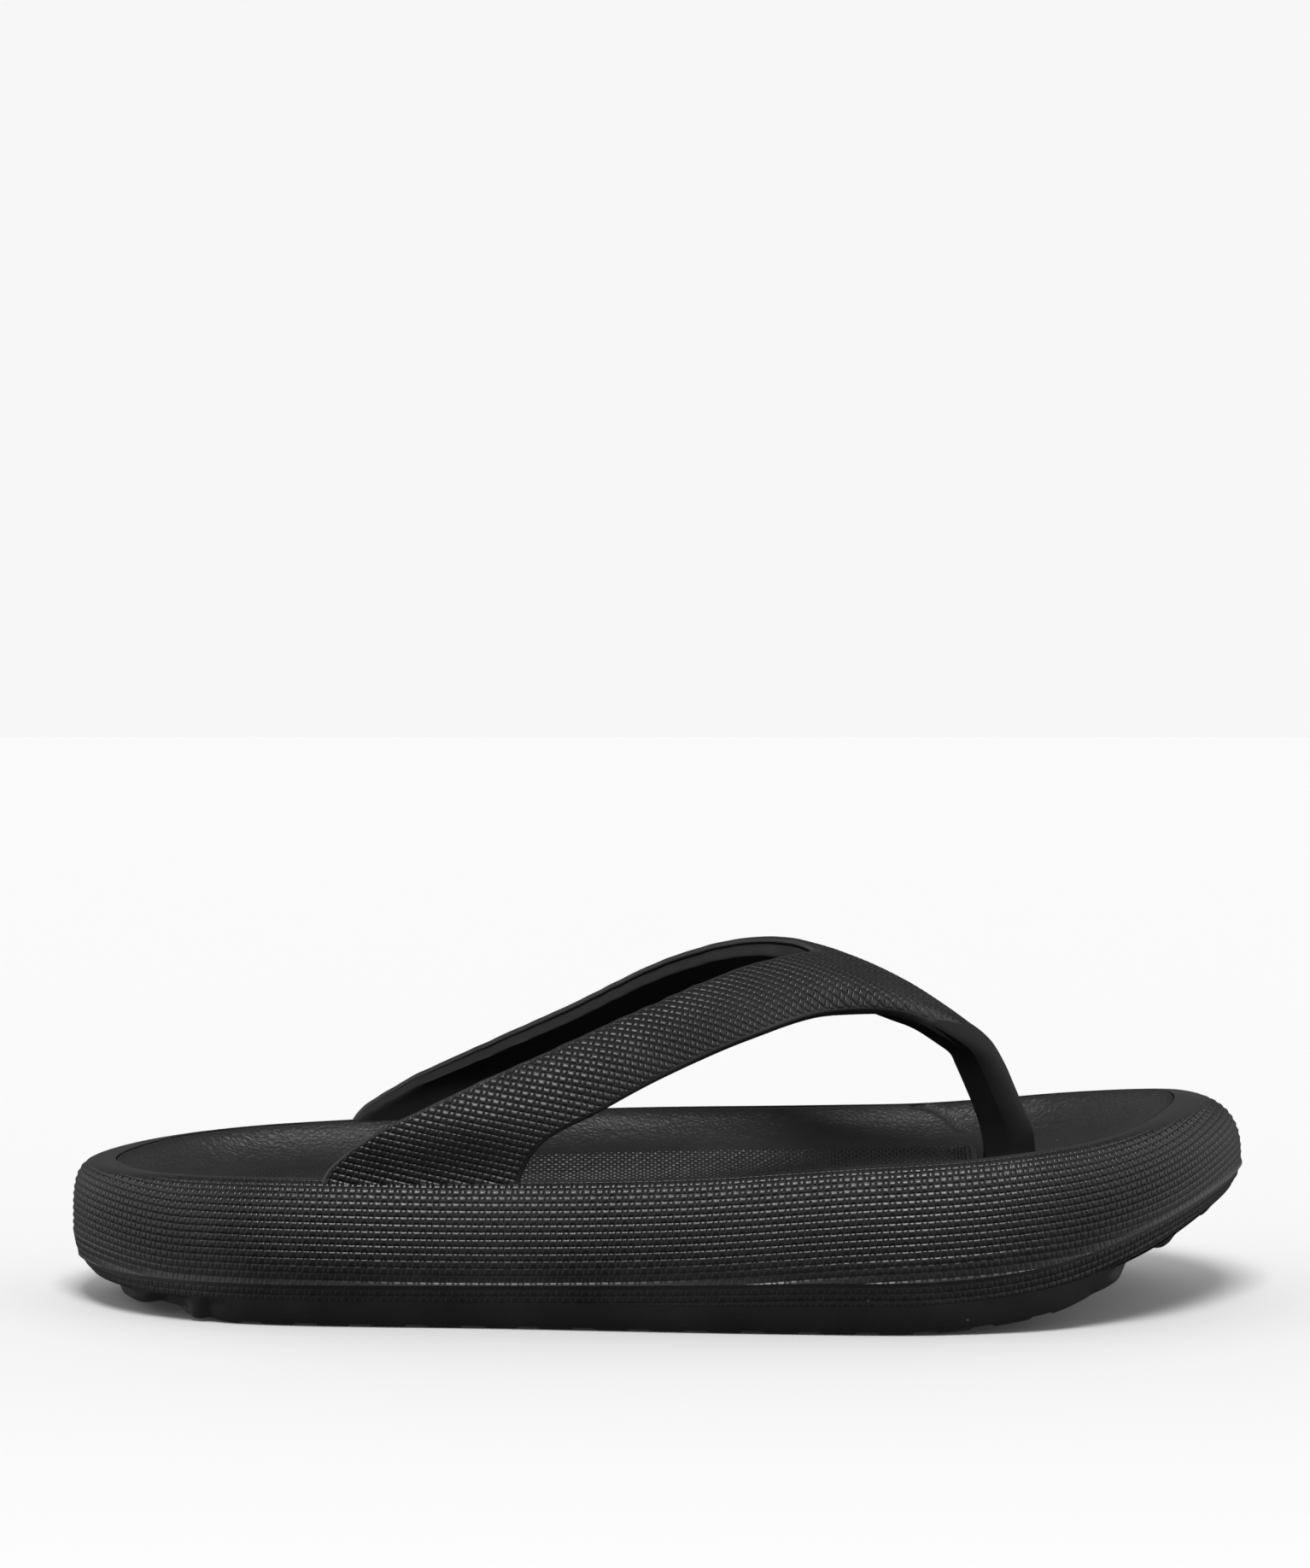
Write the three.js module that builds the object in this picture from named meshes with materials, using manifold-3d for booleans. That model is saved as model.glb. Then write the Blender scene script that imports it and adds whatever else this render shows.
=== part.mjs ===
// A thick-soled moulded foam flip flop for a right foot, in millimetres.
// +X points to the toe, +Y to the inner (medial) side of the foot, +Z up, and the tread stands on z = 0.
// The sole is a stack of bonded foam layers. The strap is a smooth lining with a woven-look skin on it.
// The lining's two tabs and the toe post go down into the sole and are held there by plates and a washer.

import * as THREE from "three";
import { mergeVertices } from "three/addons/utils/BufferGeometryUtils.js";
import Module from "manifold-3d";

const wasm = await Module();
wasm.setup();

// ---------------------------------------------------------------- driving dimensions

const SOLE_LENGTH = 265;
const SOLE_WIDTH = 104;
const GAP = 0.3; // clearance between two pieces that are bonded face to face

// Plan outline at the sole's widest level: heel, outer side, toe, inner side.
const OUTLINE = [
  [-132.5, 1], [-128.5, -13], [-116, -28], [-93, -38], [-33, -44], [25, -50], [62, -51.5], [90, -46.5],
  [109, -37], [124, -19], [132.5, 4], [127, 24], [112, 39.5], [92, 48.5], [60, 51.5], [15, 47],
  [-33, 41.5], [-93, 40], [-116, 30], [-128.5, 15],
];
const STATIONS = 60; // points round each layer
const STRAIGHT_INSET = 15; // further in from the outline than this, points move towards the sole's spine
const SPINE = [-92.5, 86.5]; // the spine's ends along X
const SPINE_Y = 1.5;

// Heights along the sole, as [x, height]: the underside's middle, and the rim's crest on each side.
const UNDERSIDE = [[-132.5, 0], [50, 0], [84, 2.9], [102, 7.4], [118, 12.2], [132.5, 17.5]];
const RIM_OUTER = [[-132.5, 31.4], [-90, 33], [-33, 33.4], [6, 34.7], [45, 37.6], [75, 39.4], [132.5, 45]];
const RIM_INNER = [[-132.5, 31.4], [-90, 33], [-6, 36.2], [46, 35.9], [64, 36.3], [104, 40.4], [132.5, 45]];
const RIM_BLEND = 25; // the two sides' rims blend within this distance of the middle

// Seams between the layers, as [x, share of the wall's height].
const OUTSOLE_SEAM = [[-132.5, 0.19], [90, 0.185], [115, 0.2], [132.5, 0.28]];
const PARTING_SEAM = [[-132.5, 0.31], [-90, 0.3], [25, 0.333], [95, 0.34], [112, 0.39], [132.5, 0.45]];

const WIDEST_SHARE = 0.5; // the wall bulges out to the outline at this share of its height
const UNDER_INSET = [
  [-132.5, 23], [-120, 12], [-106, 5], [-90, 4], [88, 4], [104, 9], [118, 16], [132.5, 23],
]; // the underside's edge, in from the outline
const CREST_INSET = [[-132.5, 9.6], [-105, 6.8], [90, 6.5], [115, 9.5], [132.5, 15]]; // the rim's crest
const UNDER_FULLNESS = 2.1; // superellipse power of the wall below its widest level
const UPPER_FULLNESS = 2.2; // and above it

// The dished footbed, as [distance in from the crest, height]: its edge is just inside the crest.
const DISH = [[0, 0], [2, -0.7], [6, -4], [10.5, -6.6], [20, -8.8], [30, -10]];
const FOOTBED_EDGE = 0.6;
const FOOTBED_RINGS = [2, 4, 6, 8, 10.5];
const ROOM = 0.6; // clearance under the footbed and under its inlay, which are doubly curved
const UNDER_RINGS = [6, 8, 10.5, 16, 21, 27]; // rings of its underside and of the room for it
const FOOTBED_THICK = 4;
const INLAY_EDGE = 12.5; // distance of the inlay's edge in from the crest
const INLAY_RINGS = [16, 21, 27];
const INLAY_THICK = 1;
const INLAY_FRONT = 73.5; // the inlay's front end along X
const INLAY_ROUND = 32; // length over which its front is rounded off
const FLAT_INSETS = [22, 31]; // inner rings of the layers' faces, which carry their curve along X

const GROOVE_PITCH = 12.8; // the tread's wavy cross grooves
const GROOVE_WIDTH = 4.6;
const GROOVE_DEPTH = 2;
const WAVE_LENGTH = 38;
const WAVE_STEPS = 12;
const WAVE_HEIGHT = 2.2;

// The strap's outer face from its outer end over the foot to its inner end.
// Each row is one cut across the band: the rear edge, the front edge, and the crown between them.
const STRAP = [
  [[-76, -41.5, 25], [-31, -44.5, 25], 0.2],
  [[-74.5, -41.3, 33.5], [-30.5, -44.3, 33.5], 0.5],
  [[-65, -40.7, 42.6], [-25.5, -43.5, 42.3], 0.9],
  [[-45, -39.5, 53], [-12, -41.3, 49.8], 1.3],
  [[-20, -35.5, 64], [3, -37, 57.3], 1.6],
  [[3, -26, 73], [21, -27, 63.6], 1.8],
  [[20, -13, 77.8], [39, -12.5, 67.4], 2.1],
  [[31.5, -2.5, 79], [60, -1, 64.8], 2.6],
  [[36, 5, 78.8], [78.2, 9.5, 52.4], 3.2],
  [[31.5, 12, 79.6], [60, 20, 64.8], 2.6],
  [[20, 18.5, 78.8], [39, 29, 66], 2.1],
  [[3, 25.5, 73], [21, 38, 60.6], 1.8],
  [[-20, 32.5, 60.6], [2, 41.5, 53.5], 1.6],
  [[-42, 36.2, 49.8], [-14, 42.3, 47], 1.3],
  [[-60, 38, 40.8], [-26, 42.6, 40], 0.9],
  [[-70, 39, 33.5], [-30.5, 42.2, 33.5], 0.5],
  [[-72, 39.3, 25], [-31, 41.8, 25], 0.2],
];
const CREST_ROW = 8; // the row that runs along the ridge to the toe post
const STRAP_STEPS = 40; // cuts along the band
const BAND_STEPS = 6; // and points across it
const SKIN_THICK = 1.6;
const SKIN_GAP = 0.35; // a little more than GAP, because both faces are doubly curved
const LINING_THICK = 3.4;
const LINING_FRONT = 0.89; // the lining stops short of the skin's front edge, as a share of the band
const LINING_RIDGE = 0.64; // and ends here on the ridge, behind the toe post

const EDGE_CLEARANCE = 0.014; // a clearance of GAP at the band's edges, as a share of the band
const BEHIND_LINING = 1.4; // clearance between the lining's inner face and the sole
const LAYER_ENDS = [0.008, 0.992]; // the layers' share of the length of the band's room in the sole

// The tabs and slotted plates that hold the strap's two arms: [middle x, middle y, turn in degrees].
const ANCHORS = { lateral: [-53, -37.2, -5.5], medial: [-51.5, 35.6, -1.5] };
const TAB = [26, 3, 17]; // length, thickness, height
const TAB_BOTTOM = 11.3;
const PLATE = [36, 8.6, 3];
const PLATE_INWARDS = 1.6; // the plate's middle lies this far inwards of its slot
const SLOT_CLEARANCE = 0.4;

// The toe post, from the plug at its foot: [height, rear x, front x, width across].
const POST = [
  [17.6, 72, 88, 15], [19.6, 72, 88, 15], [19.7, 75.6, 84.6, 8.4], [27, 75.4, 84.8, 8.4], [31, 74.2, 86, 9],
  [37, 73.2, 85.2, 8.6], [43, 70.9, 83, 8.6], [49.4, 68.4, 79.8, 9], [54.5, 65.6, 77, 9.6],
];
const POST_Y = 9.5;
const POST_TOP_SLOPE = 0.6; // the post's top slants with the strap's ridge
const POST_SIDES = 20;
const POST_ROUNDNESS = 0.72; // superellipse exponent of its section
const PLUG_TOP_ROW = 1;
const WASHER = { outer: 10, inner: 5.2, thick: 1.6 };

const BLACK_FOAM = "#232325";
const BLACK_RUBBER = "#19191a";
const GREY_NYLON = "#4a4a4c";

// ---------------------------------------------------------------- helpers

const { clamp, lerp, smoothstep } = THREE.MathUtils;
const HALF = SOLE_LENGTH / 2;
const vec = (x, y, z) => new THREE.Vector3(x, y, z);

/** A smooth curve through [x, value] knots, as a function of x. It is level where its knots are. */
function profile(knots) {
  const last = knots.length - 1;
  const slope = (i) => (knots[i + 1][1] - knots[i][1]) / (knots[i + 1][0] - knots[i][0]);
  const slopes = knots.map((_, i) => {
    const [before, after] = [slope(Math.max(i - 1, 0)), slope(Math.min(i, last - 1))];
    return before * after <= 0 ? 0 : (before + after) / 2;
  });
  return (x) => {
    const from = x >= knots[last][0] ? last - 1 : Math.max(knots.findIndex((knot) => knot[0] > x) - 1, 0);
    const [x0, v0] = knots[from];
    const [x1, v1] = knots[from + 1];
    const t = clamp((x - x0) / (x1 - x0), 0, 1);
    const u = 1 - t;
    return v0 * (1 + 2 * t) * u * u + v1 * (1 + 2 * u) * t * t
      + (x1 - x0) * t * u * (slopes[from] * u - slopes[from + 1] * t);
  };
}

/** A manifold solid from a three.js geometry. */
function solidOf(geometry) {
  const bare = geometry.index ? geometry.toNonIndexed() : geometry.clone();
  bare.deleteAttribute("normal");
  bare.deleteAttribute("uv");
  const merged = mergeVertices(bare, 1e-3);
  return new wasm.Manifold(new wasm.Mesh({
    numProp: 3,
    vertProperties: merged.attributes.position.array,
    triVerts: new Uint32Array(merged.index.array),
  }));
}

/** A three.js geometry from a manifold solid. */
function geometryOf(solid) {
  const mesh = solid.getMesh();
  const geometry = new THREE.BufferGeometry();
  geometry.setAttribute("position", new THREE.BufferAttribute(mesh.vertProperties, 3));
  geometry.setIndex(new THREE.BufferAttribute(mesh.triVerts, 1));
  geometry.computeVertexNormals();
  return geometry;
}

/** Triangles that close a ring by joining its two sides across, from its first point to the middle one. */
function zip(start, count, flip) {
  const faces = [];
  for (let i = 0; i < count / 2; i++) {
    const [a, b] = [start + i, start + i + 1];
    const [c, d] = [start + count - i - 1, start + ((count - i) % count)];
    if (i > 0) faces.push(...(flip ? [a, d, c] : [a, c, d]));
    if (b !== c) faces.push(...(flip ? [a, c, b] : [a, b, c]));
  }
  return faces;
}

/** Skins a row of rings that all hold the same number of points, and closes both ends. */
function loft(rings) {
  const count = rings[0].length;
  const points = rings.flat();
  const faces = [];
  for (let r = 0; r + 1 < rings.length; r++) {
    for (let i = 0; i < count; i++) {
      const j = (i + 1) % count;
      const [a, b, c, d] = [r * count + i, r * count + j, (r + 1) * count + j, (r + 1) * count + i];
      const forward = points[a].distanceTo(points[c]) < points[b].distanceTo(points[d]);
      faces.push(...(forward ? [a, b, c, a, c, d] : [a, b, d, b, c, d]));
    }
  }
  faces.push(...zip(0, count, true));
  faces.push(...zip(points.length - count, count, false));
  const geometry = new THREE.BufferGeometry();
  geometry.setFromPoints(points);
  geometry.setIndex(faces);
  const solid = solidOf(geometry);
  if (solid.volume() > 0) return solid;
  geometry.setIndex(faces.map((_, k) => faces[k - (k % 3) + [0, 2, 1][k % 3]]));
  return solidOf(geometry);
}

/** The largest of the bodies that a cut leaves. */
function largestBody(solid) {
  return solid.decompose().reduce((best, body) => (body.volume() > best.volume() ? body : best));
}

/** An upright disc round a middle point. */
function discSolid(radius, height, middle) {
  const disc = new THREE.CylinderGeometry(radius, radius, height, 32).rotateX(Math.PI / 2);
  return solidOf(disc.translate(...middle));
}

// ---------------------------------------------------------------- the sole's form

/** Stations round the outline, fitted exactly to the sole's length and width. */
function makeStations() {
  const curve = new THREE.CatmullRomCurve3(OUTLINE.map(([x, y]) => vec(x, y, 0)), true, "centripetal");
  const points = Array.from({ length: STATIONS }, (_, i) => curve.getPointAt(i / STATIONS));
  const box = new THREE.Box3().setFromPoints(points);
  const size = box.getSize(vec(0, 0, 0));
  const middle = box.getCenter(vec(0, 0, 0));
  const fit = vec(SOLE_LENGTH / size.x, SOLE_WIDTH / size.y, 1);
  return points.map((p, i) => {
    const tangent = curve.getTangentAt(i / STATIONS);
    return { point: p.sub(middle).multiply(fit), outward: vec(tangent.y, -tangent.x, 0).normalize() };
  });
}

const stations = makeStations();
const underside = profile(UNDERSIDE);
const rimOuter = profile(RIM_OUTER);
const rimInner = profile(RIM_INNER);
const outsoleSeam = profile(OUTSOLE_SEAM);
const partingSeam = profile(PARTING_SEAM);
const crestInset = profile(CREST_INSET);
const underInset = profile(UNDER_INSET);
const dish = profile(DISH);

/** Height of the rim's crest at a place on the plan. */
const rimAt = (x, y) => lerp(rimOuter(x), rimInner(x), smoothstep(y, -RIM_BLEND, RIM_BLEND));

/** Inset of the outer wall at a share h of its height. */
function wallInset(x, h) {
  const under = h < WIDEST_SHARE;
  const s = under ? 1 - h / WIDEST_SHARE : (h - WIDEST_SHARE) / (1 - WIDEST_SHARE);
  const power = under ? UNDER_FULLNESS : UPPER_FULLNESS;
  return (under ? underInset(x) : crestInset(x)) * (1 - Math.pow(Math.max(0, 1 - Math.pow(s, power)), 1 / power));
}

/** A ring on the outer wall, at a share of its height given as a function of x. */
function wallRing(share, lift = 0) {
  return stations.map(({ point, outward }) => {
    const h = share(point.x);
    const p = point.clone().addScaledVector(outward, -wallInset(point.x, h));
    p.z = lerp(underside(point.x), rimAt(point.x, point.y), h) + lift;
    return p;
  });
}

/** A station's point moved in from the outline. */
function insetPoint({ point, outward }, inset) {
  const p = point.clone().addScaledVector(outward, -Math.min(inset, STRAIGHT_INSET));
  if (inset <= STRAIGHT_INSET) return p;
  const spine = vec(clamp(p.x, ...SPINE), SPINE_Y, 0);
  return p.addScaledVector(spine.sub(p).normalize(), inset - STRAIGHT_INSET);
}

/** A ring in from the outline, at a height given as a function of the station and the moved point. */
function insetRing(inset, height) {
  return stations.map((station) => {
    const p = insetPoint(station, inset);
    p.z = height(station, p);
    return p;
  });
}

/** Height of a flat layer's face inside the sole. */
const layerHeight = (share, lift = 0) => (station, p) => {
  const h = share(p.x);
  return lerp(underside(p.x), rimAt(p.x, 0), h) + lift;
};

/** A ring inside the rim at a distance in from its crest, on the dish or at a depth under it. */
function dishRing(distance, sink = 0) {
  const inwards = smoothstep(distance, 0, DISH.at(-1)[0]);
  return stations.map((station) => {
    const { x, y } = station.point;
    const p = insetPoint(station, crestInset(x) + distance);
    p.z = rimAt(lerp(x, p.x, inwards), lerp(y, p.y, inwards)) + dish(distance) - sink;
    return p;
  });
}

const flatRings = (share, lift) => FLAT_INSETS.map((inset) => insetRing(inset, layerHeight(share, lift)));

// ---------------------------------------------------------------- the sole's layers

function outsoleBody() {
  const under = () => 0;
  const solid = loft([
    ...flatRings(under, 0).reverse(),
    ...[0, 0.15, 0.4, 0.7, 1].map((k) => wallRing((x) => k * outsoleSeam(x))),
    ...flatRings(outsoleSeam, 0),
  ]);
  return treadGrooves().reduce((left, groove) => left.subtract(groove), solid);
}

/** The tread's wavy grooves: each runs across the whole sole at the depth of the underside there. */
function treadGrooves() {
  const grooves = [];
  const reach = SOLE_WIDTH / 2 + 5;
  const below = 10;
  for (let x = -HALF + 15; x < HALF - 8; x += GROOVE_PITCH) {
    const side = (offset) => Array.from({ length: WAVE_STEPS + 1 }, (_, i) => {
      const y = lerp(-reach, reach, i / WAVE_STEPS);
      return new THREE.Vector2(x + offset + WAVE_HEIGHT * Math.sin((2 * Math.PI * y) / WAVE_LENGTH), y);
    });
    const shape = new THREE.Shape([...side(-GROOVE_WIDTH / 2), ...side(GROOVE_WIDTH / 2).reverse()]);
    const depth = below + underside(x) + GROOVE_DEPTH;
    const cutter = new THREE.ExtrudeGeometry(shape, { depth, bevelEnabled: false });
    grooves.push(solidOf(cutter.translate(0, 0, -below)));
  }
  return grooves;
}

function lowerMidsoleBody() {
  const between = (k) => (x) => lerp(outsoleSeam(x), partingSeam(x), k);
  return loft([
    ...flatRings(outsoleSeam, GAP).reverse(),
    wallRing(outsoleSeam, GAP),
    wallRing(between(0.5)),
    wallRing(partingSeam),
    ...flatRings(partingSeam, 0),
  ]);
}

function upperMidsoleBody() {
  const between = (k) => (x) => lerp(partingSeam(x), 1, k);
  const sink = FOOTBED_THICK + ROOM;
  const edge = FOOTBED_EDGE - GAP;
  return loft([
    ...flatRings(partingSeam, GAP).reverse(),
    wallRing(partingSeam, GAP),
    ...[0.2, 0.4, 0.6, 0.8, 0.92, 1].map((k) => wallRing(between(k))),
    dishRing(edge),
    dishRing(edge, sink),
    ...UNDER_RINGS.map((distance) => dishRing(distance, sink)),
  ]);
}

/** A ring of the inlay: a ring of the dish, drawn in to the inlay's rounded front end. */
function inlayRing(distance, sink = 0) {
  const shoulder = INLAY_FRONT - INLAY_ROUND;
  return dishRing(distance, sink).map((p) => {
    const past = Math.max(0, p.x - shoulder);
    const x = Math.min(p.x, shoulder) + INLAY_ROUND * Math.tanh(past / INLAY_ROUND);
    return vec(x, p.y, p.z + rimAt(x, p.y) - rimAt(p.x, p.y));
  });
}

function footbedBody() {
  return loft([
    ...[...UNDER_RINGS].reverse().map((distance) => dishRing(distance, FOOTBED_THICK)),
    dishRing(FOOTBED_EDGE, FOOTBED_THICK),
    dishRing(FOOTBED_EDGE),
    ...FOOTBED_RINGS.map((d) => dishRing(d)),
    inlayRing(INLAY_EDGE - GAP),
    inlayRing(INLAY_EDGE - GAP, INLAY_THICK + ROOM),
    ...INLAY_RINGS.map((d) => inlayRing(d, INLAY_THICK + ROOM)),
  ]);
}

function inlayBody() {
  return loft([
    ...[...INLAY_RINGS].reverse().map((d) => inlayRing(d, INLAY_THICK)),
    inlayRing(INLAY_EDGE, INLAY_THICK),
    inlayRing(INLAY_EDGE),
    ...INLAY_RINGS.map((d) => inlayRing(d)),
  ]);
}

// ---------------------------------------------------------------- the strap

const rearEdge = new THREE.CatmullRomCurve3(STRAP.map(([rear]) => vec(...rear)), false, "centripetal");
const frontEdge = new THREE.CatmullRomCurve3(STRAP.map(([, front]) => vec(...front)), false, "centripetal");
const crownAt = profile(STRAP.map(([, , crown], i) => [i / (STRAP.length - 1), crown]));

/** A point of the strap's outer face: u runs along the band, s across it from the rear edge. */
function strapFace(u, s) {
  const rear = rearEdge.getPoint(u);
  const front = frontEdge.getPoint(u);
  return rear.lerp(front, s);
}

/** The outward normal of the strap's face. */
function strapNormal(u, s) {
  const step = 0.01;
  const along = strapFace(Math.min(u + step, 1), s).sub(strapFace(Math.max(u - step, 0), s));
  const across = strapFace(u, s + step).sub(strapFace(u, s - step));
  return across.cross(along).normalize();
}

const RIDGE = CREST_ROW / (STRAP.length - 1);
const RIDGE_HALF = 1.7 / (STRAP.length - 1);

/** How near a cut across the band is to the ridge: 1 on it, 0 on the arms. */
const onRidge = (u) => 1 - smoothstep(Math.abs(u - RIDGE), 0, RIDGE_HALF);

/** Share of the crown across the band: even on the arms, and full towards the toe on the ridge. */
function crownShape(u, s) {
  const even = 4 * s * (1 - s);
  const nose = (1 - (1 - s) ** 2) * Math.sqrt(Math.max(0, 1 - s ** 8));
  return lerp(even, nose, onRidge(u));
}

/** A point at a depth below the strap's crowned outer face. */
function strapPoint(u, s, depth) {
  const crown = crownAt(u) * crownShape(u, clamp(s, 0, 1));
  return strapFace(u, s).addScaledVector(strapNormal(u, s), crown - depth);
}

/**
 * A layer of the strap between two depths. margin widens it past both edges of the band, and ends
 * says how far across the band it reaches on the arms and on the ridge.
 */
function strapLayer(top, bottom, margin = 0, ends = [1, 1], [from, to] = [0, 1]) {
  return loft(Array.from({ length: STRAP_STEPS + 1 }, (_, k) => {
    const u = lerp(from, to, k / STRAP_STEPS);
    const end = lerp(...ends, onRidge(u));
    const across = Array.from({ length: BAND_STEPS + 1 }, (_, j) => {
      return lerp(-margin, end + margin, j / BAND_STEPS);
    });
    const outer = across.map((s) => strapPoint(u, s, top));
    const inner = across.map((s) => strapPoint(u, s, bottom));
    return [...outer, ...inner.reverse()];
  }));
}

const SKIN_DEPTHS = [0, SKIN_THICK];
const LINING_DEPTHS = [SKIN_THICK + SKIN_GAP, SKIN_THICK + SKIN_GAP + LINING_THICK];
const LINING_REACH = [LINING_FRONT, LINING_RIDGE];

const skinBody = () => strapLayer(...SKIN_DEPTHS, 0, [1, 1], LAYER_ENDS);

function liningBody() {
  return Object.keys(ANCHORS).reduce(
    (solid, side) => solid.add(anchorBlock(side, TAB, TAB_BOTTOM)),
    strapLayer(...LINING_DEPTHS, 0, LINING_REACH, LAYER_ENDS),
  );
}

/** The room that the strap's two layers and the tabs take in the sole. */
function strapPocket() {
  const [length, thick, height] = TAB;
  const tabRoom = [length + 2 * GAP, thick + 2 * GAP, height + 2 * GAP];
  return Object.keys(ANCHORS).reduce(
    (solid, side) => solid.add(anchorBlock(side, tabRoom, TAB_BOTTOM - GAP)),
    strapLayer(-GAP, LINING_DEPTHS[1] + BEHIND_LINING, EDGE_CLEARANCE),
  );
}

// ---------------------------------------------------------------- what holds the strap

/** A block that stands on a height at one of the anchors and turns with the sole's edge. */
function anchorBlock(side, size, bottom, inwards = 0) {
  const [x, y, turn] = ANCHORS[side];
  const block = new THREE.BoxGeometry(...size).translate(0, -Math.sign(y) * inwards, size[2] / 2);
  return solidOf(block.rotateZ(THREE.MathUtils.degToRad(turn)).translate(x, y, bottom));
}

function anchorPlate(side) {
  const slot = [TAB[0] + 2 * SLOT_CLEARANCE, TAB[1] + 2 * SLOT_CLEARANCE, 3 * PLATE[2]];
  return anchorBlock(side, PLATE, TAB_BOTTOM, PLATE_INWARDS)
    .subtract(anchorBlock(side, slot, TAB_BOTTOM - PLATE[2]));
}

/** The pocket for an anchor plate, open to the parting below it. */
function platePocket(side) {
  const below = 5;
  const room = [PLATE[0] + 2 * GAP, PLATE[1] + 2 * GAP, PLATE[2] + GAP + below];
  return anchorBlock(side, room, TAB_BOTTOM - below, PLATE_INWARDS);
}

// ---------------------------------------------------------------- the toe post

/** The toe post, or the room for it when a clearance is given. */
function postSolid(clearance = 0) {
  const top = POST.length - 1;
  return loft(POST.map(([z, rear, front, width], row) => {
    return Array.from({ length: POST_SIDES }, (_, i) => {
      const angle = (2 * Math.PI * i) / POST_SIDES;
      const [c, s] = [Math.cos(angle), Math.sin(angle)];
      const round = (v) => Math.sign(v) * Math.pow(Math.abs(v), POST_ROUNDNESS);
      const x = (rear + front) / 2 + ((front - rear) / 2 + clearance) * round(c);
      const y = POST_Y + (width / 2 + clearance) * round(s);
      const slant = row === top ? POST_TOP_SLOPE * ((rear + front) / 2 - x) : 0;
      return vec(x, y, z + slant);
    });
  }));
}

function postBody() {
  const above = 8;
  const skinRoom = strapLayer(-above, SKIN_DEPTHS[1] + GAP, 2 * EDGE_CLEARANCE);
  const liningReach = LINING_REACH.map((reach) => reach + EDGE_CLEARANCE);
  const liningRoom = strapLayer(LINING_DEPTHS[0] - GAP, LINING_DEPTHS[1] + GAP, 0, liningReach);
  return largestBody(postSolid().subtract(skinRoom).subtract(liningRoom));
}

const plugTop = POST[PLUG_TOP_ROW][0];
const postX = (POST[PLUG_TOP_ROW][1] + POST[PLUG_TOP_ROW][2]) / 2;

function washerBody() {
  const { outer, inner, thick } = WASHER;
  const middle = [postX, POST_Y, plugTop + GAP + thick / 2];
  return discSolid(outer, thick, middle).subtract(discSolid(inner, 2 * thick, middle));
}

/** The round pocket for the plug and the washer, open to the parting below it. */
function plugPocket() {
  const below = 8;
  const height = below + plugTop + GAP + WASHER.thick + GAP - POST[0][0];
  return discSolid(WASHER.outer + GAP, height, [postX, POST_Y, POST[0][0] - below + height / 2]);
}

// ---------------------------------------------------------------- assembly

const flipFlop = new THREE.Group();

function addPart(name, solid, colour, roughness) {
  const material = new THREE.MeshStandardMaterial({ color: colour, roughness, metalness: 0 });
  const mesh = new THREE.Mesh(geometryOf(solid), material);
  mesh.name = name;
  flipFlop.add(mesh);
}

const strapRoom = strapPocket();
const postRoom = postSolid(GAP);
const rooms = [platePocket("lateral"), platePocket("medial"), plugPocket(), postRoom, strapRoom];
const upperMidsole = largestBody(rooms.reduce((solid, room) => solid.subtract(room), upperMidsoleBody()));

addPart("outsole", outsoleBody(), BLACK_RUBBER, 0.8);
addPart("lower_midsole", lowerMidsoleBody(), BLACK_FOAM, 0.7);
addPart("upper_midsole", upperMidsole, BLACK_FOAM, 0.7);
addPart("footbed", footbedBody().subtract(strapRoom).subtract(postRoom), BLACK_FOAM, 0.65);
addPart("footbed_inlay", inlayBody(), BLACK_FOAM, 0.75);
addPart("strap_outer", skinBody(), BLACK_FOAM, 0.7);
addPart("strap_lining", liningBody(), BLACK_RUBBER, 0.6);
addPart("toe_post", postBody(), BLACK_RUBBER, 0.55);
addPart("toe_post_washer", washerBody(), GREY_NYLON, 0.5);
addPart("lateral_anchor", anchorPlate("lateral"), GREY_NYLON, 0.5);
addPart("medial_anchor", anchorPlate("medial"), GREY_NYLON, 0.5);

export default flipFlop;
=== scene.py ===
# %% [markdown]
# # A moulded foam flip flop
# This lesson dresses a plain solid model of a thick-soled flip flop. The solid model is a fixed frame:
# it gives the size and the place of each layer. Here each layer gets its real surface: a woven-look
# relief on the side and on the strap, a pebbled footbed, a smooth lip, and a tread with rounded lugs.

# %% Load the fixed frame
import math

import bpy
import numpy as np
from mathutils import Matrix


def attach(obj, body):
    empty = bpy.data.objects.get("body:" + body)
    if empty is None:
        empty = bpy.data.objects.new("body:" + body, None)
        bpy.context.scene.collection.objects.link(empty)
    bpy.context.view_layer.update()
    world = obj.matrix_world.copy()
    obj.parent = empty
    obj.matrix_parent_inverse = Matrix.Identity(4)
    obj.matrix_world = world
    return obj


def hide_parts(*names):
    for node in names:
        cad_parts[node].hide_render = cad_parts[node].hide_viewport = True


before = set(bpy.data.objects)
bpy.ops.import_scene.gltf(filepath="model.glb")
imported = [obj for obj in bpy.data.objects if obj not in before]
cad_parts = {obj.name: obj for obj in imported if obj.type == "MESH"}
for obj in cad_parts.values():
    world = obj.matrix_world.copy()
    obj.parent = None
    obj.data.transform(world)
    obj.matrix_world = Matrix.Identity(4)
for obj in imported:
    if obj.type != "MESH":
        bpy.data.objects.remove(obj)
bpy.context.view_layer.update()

MM = 0.001

# %% [markdown]
# ## The camera
# A long lens far away keeps the sole's two long edges nearly parallel, as in a catalogue picture. The
# camera looks down by ten degrees, and the lens is shifted so that the shoe sits low in a tall frame.

# %% Camera
VIEW_HEIGHT = 0.3549  # height of the picture at the shoe
VIEW_DISTANCE = 2.2
VIEW_TILT = math.radians(10)
SENSOR = 36.0
AIM = (-0.0005, 0.0, 0.0365)

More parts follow.
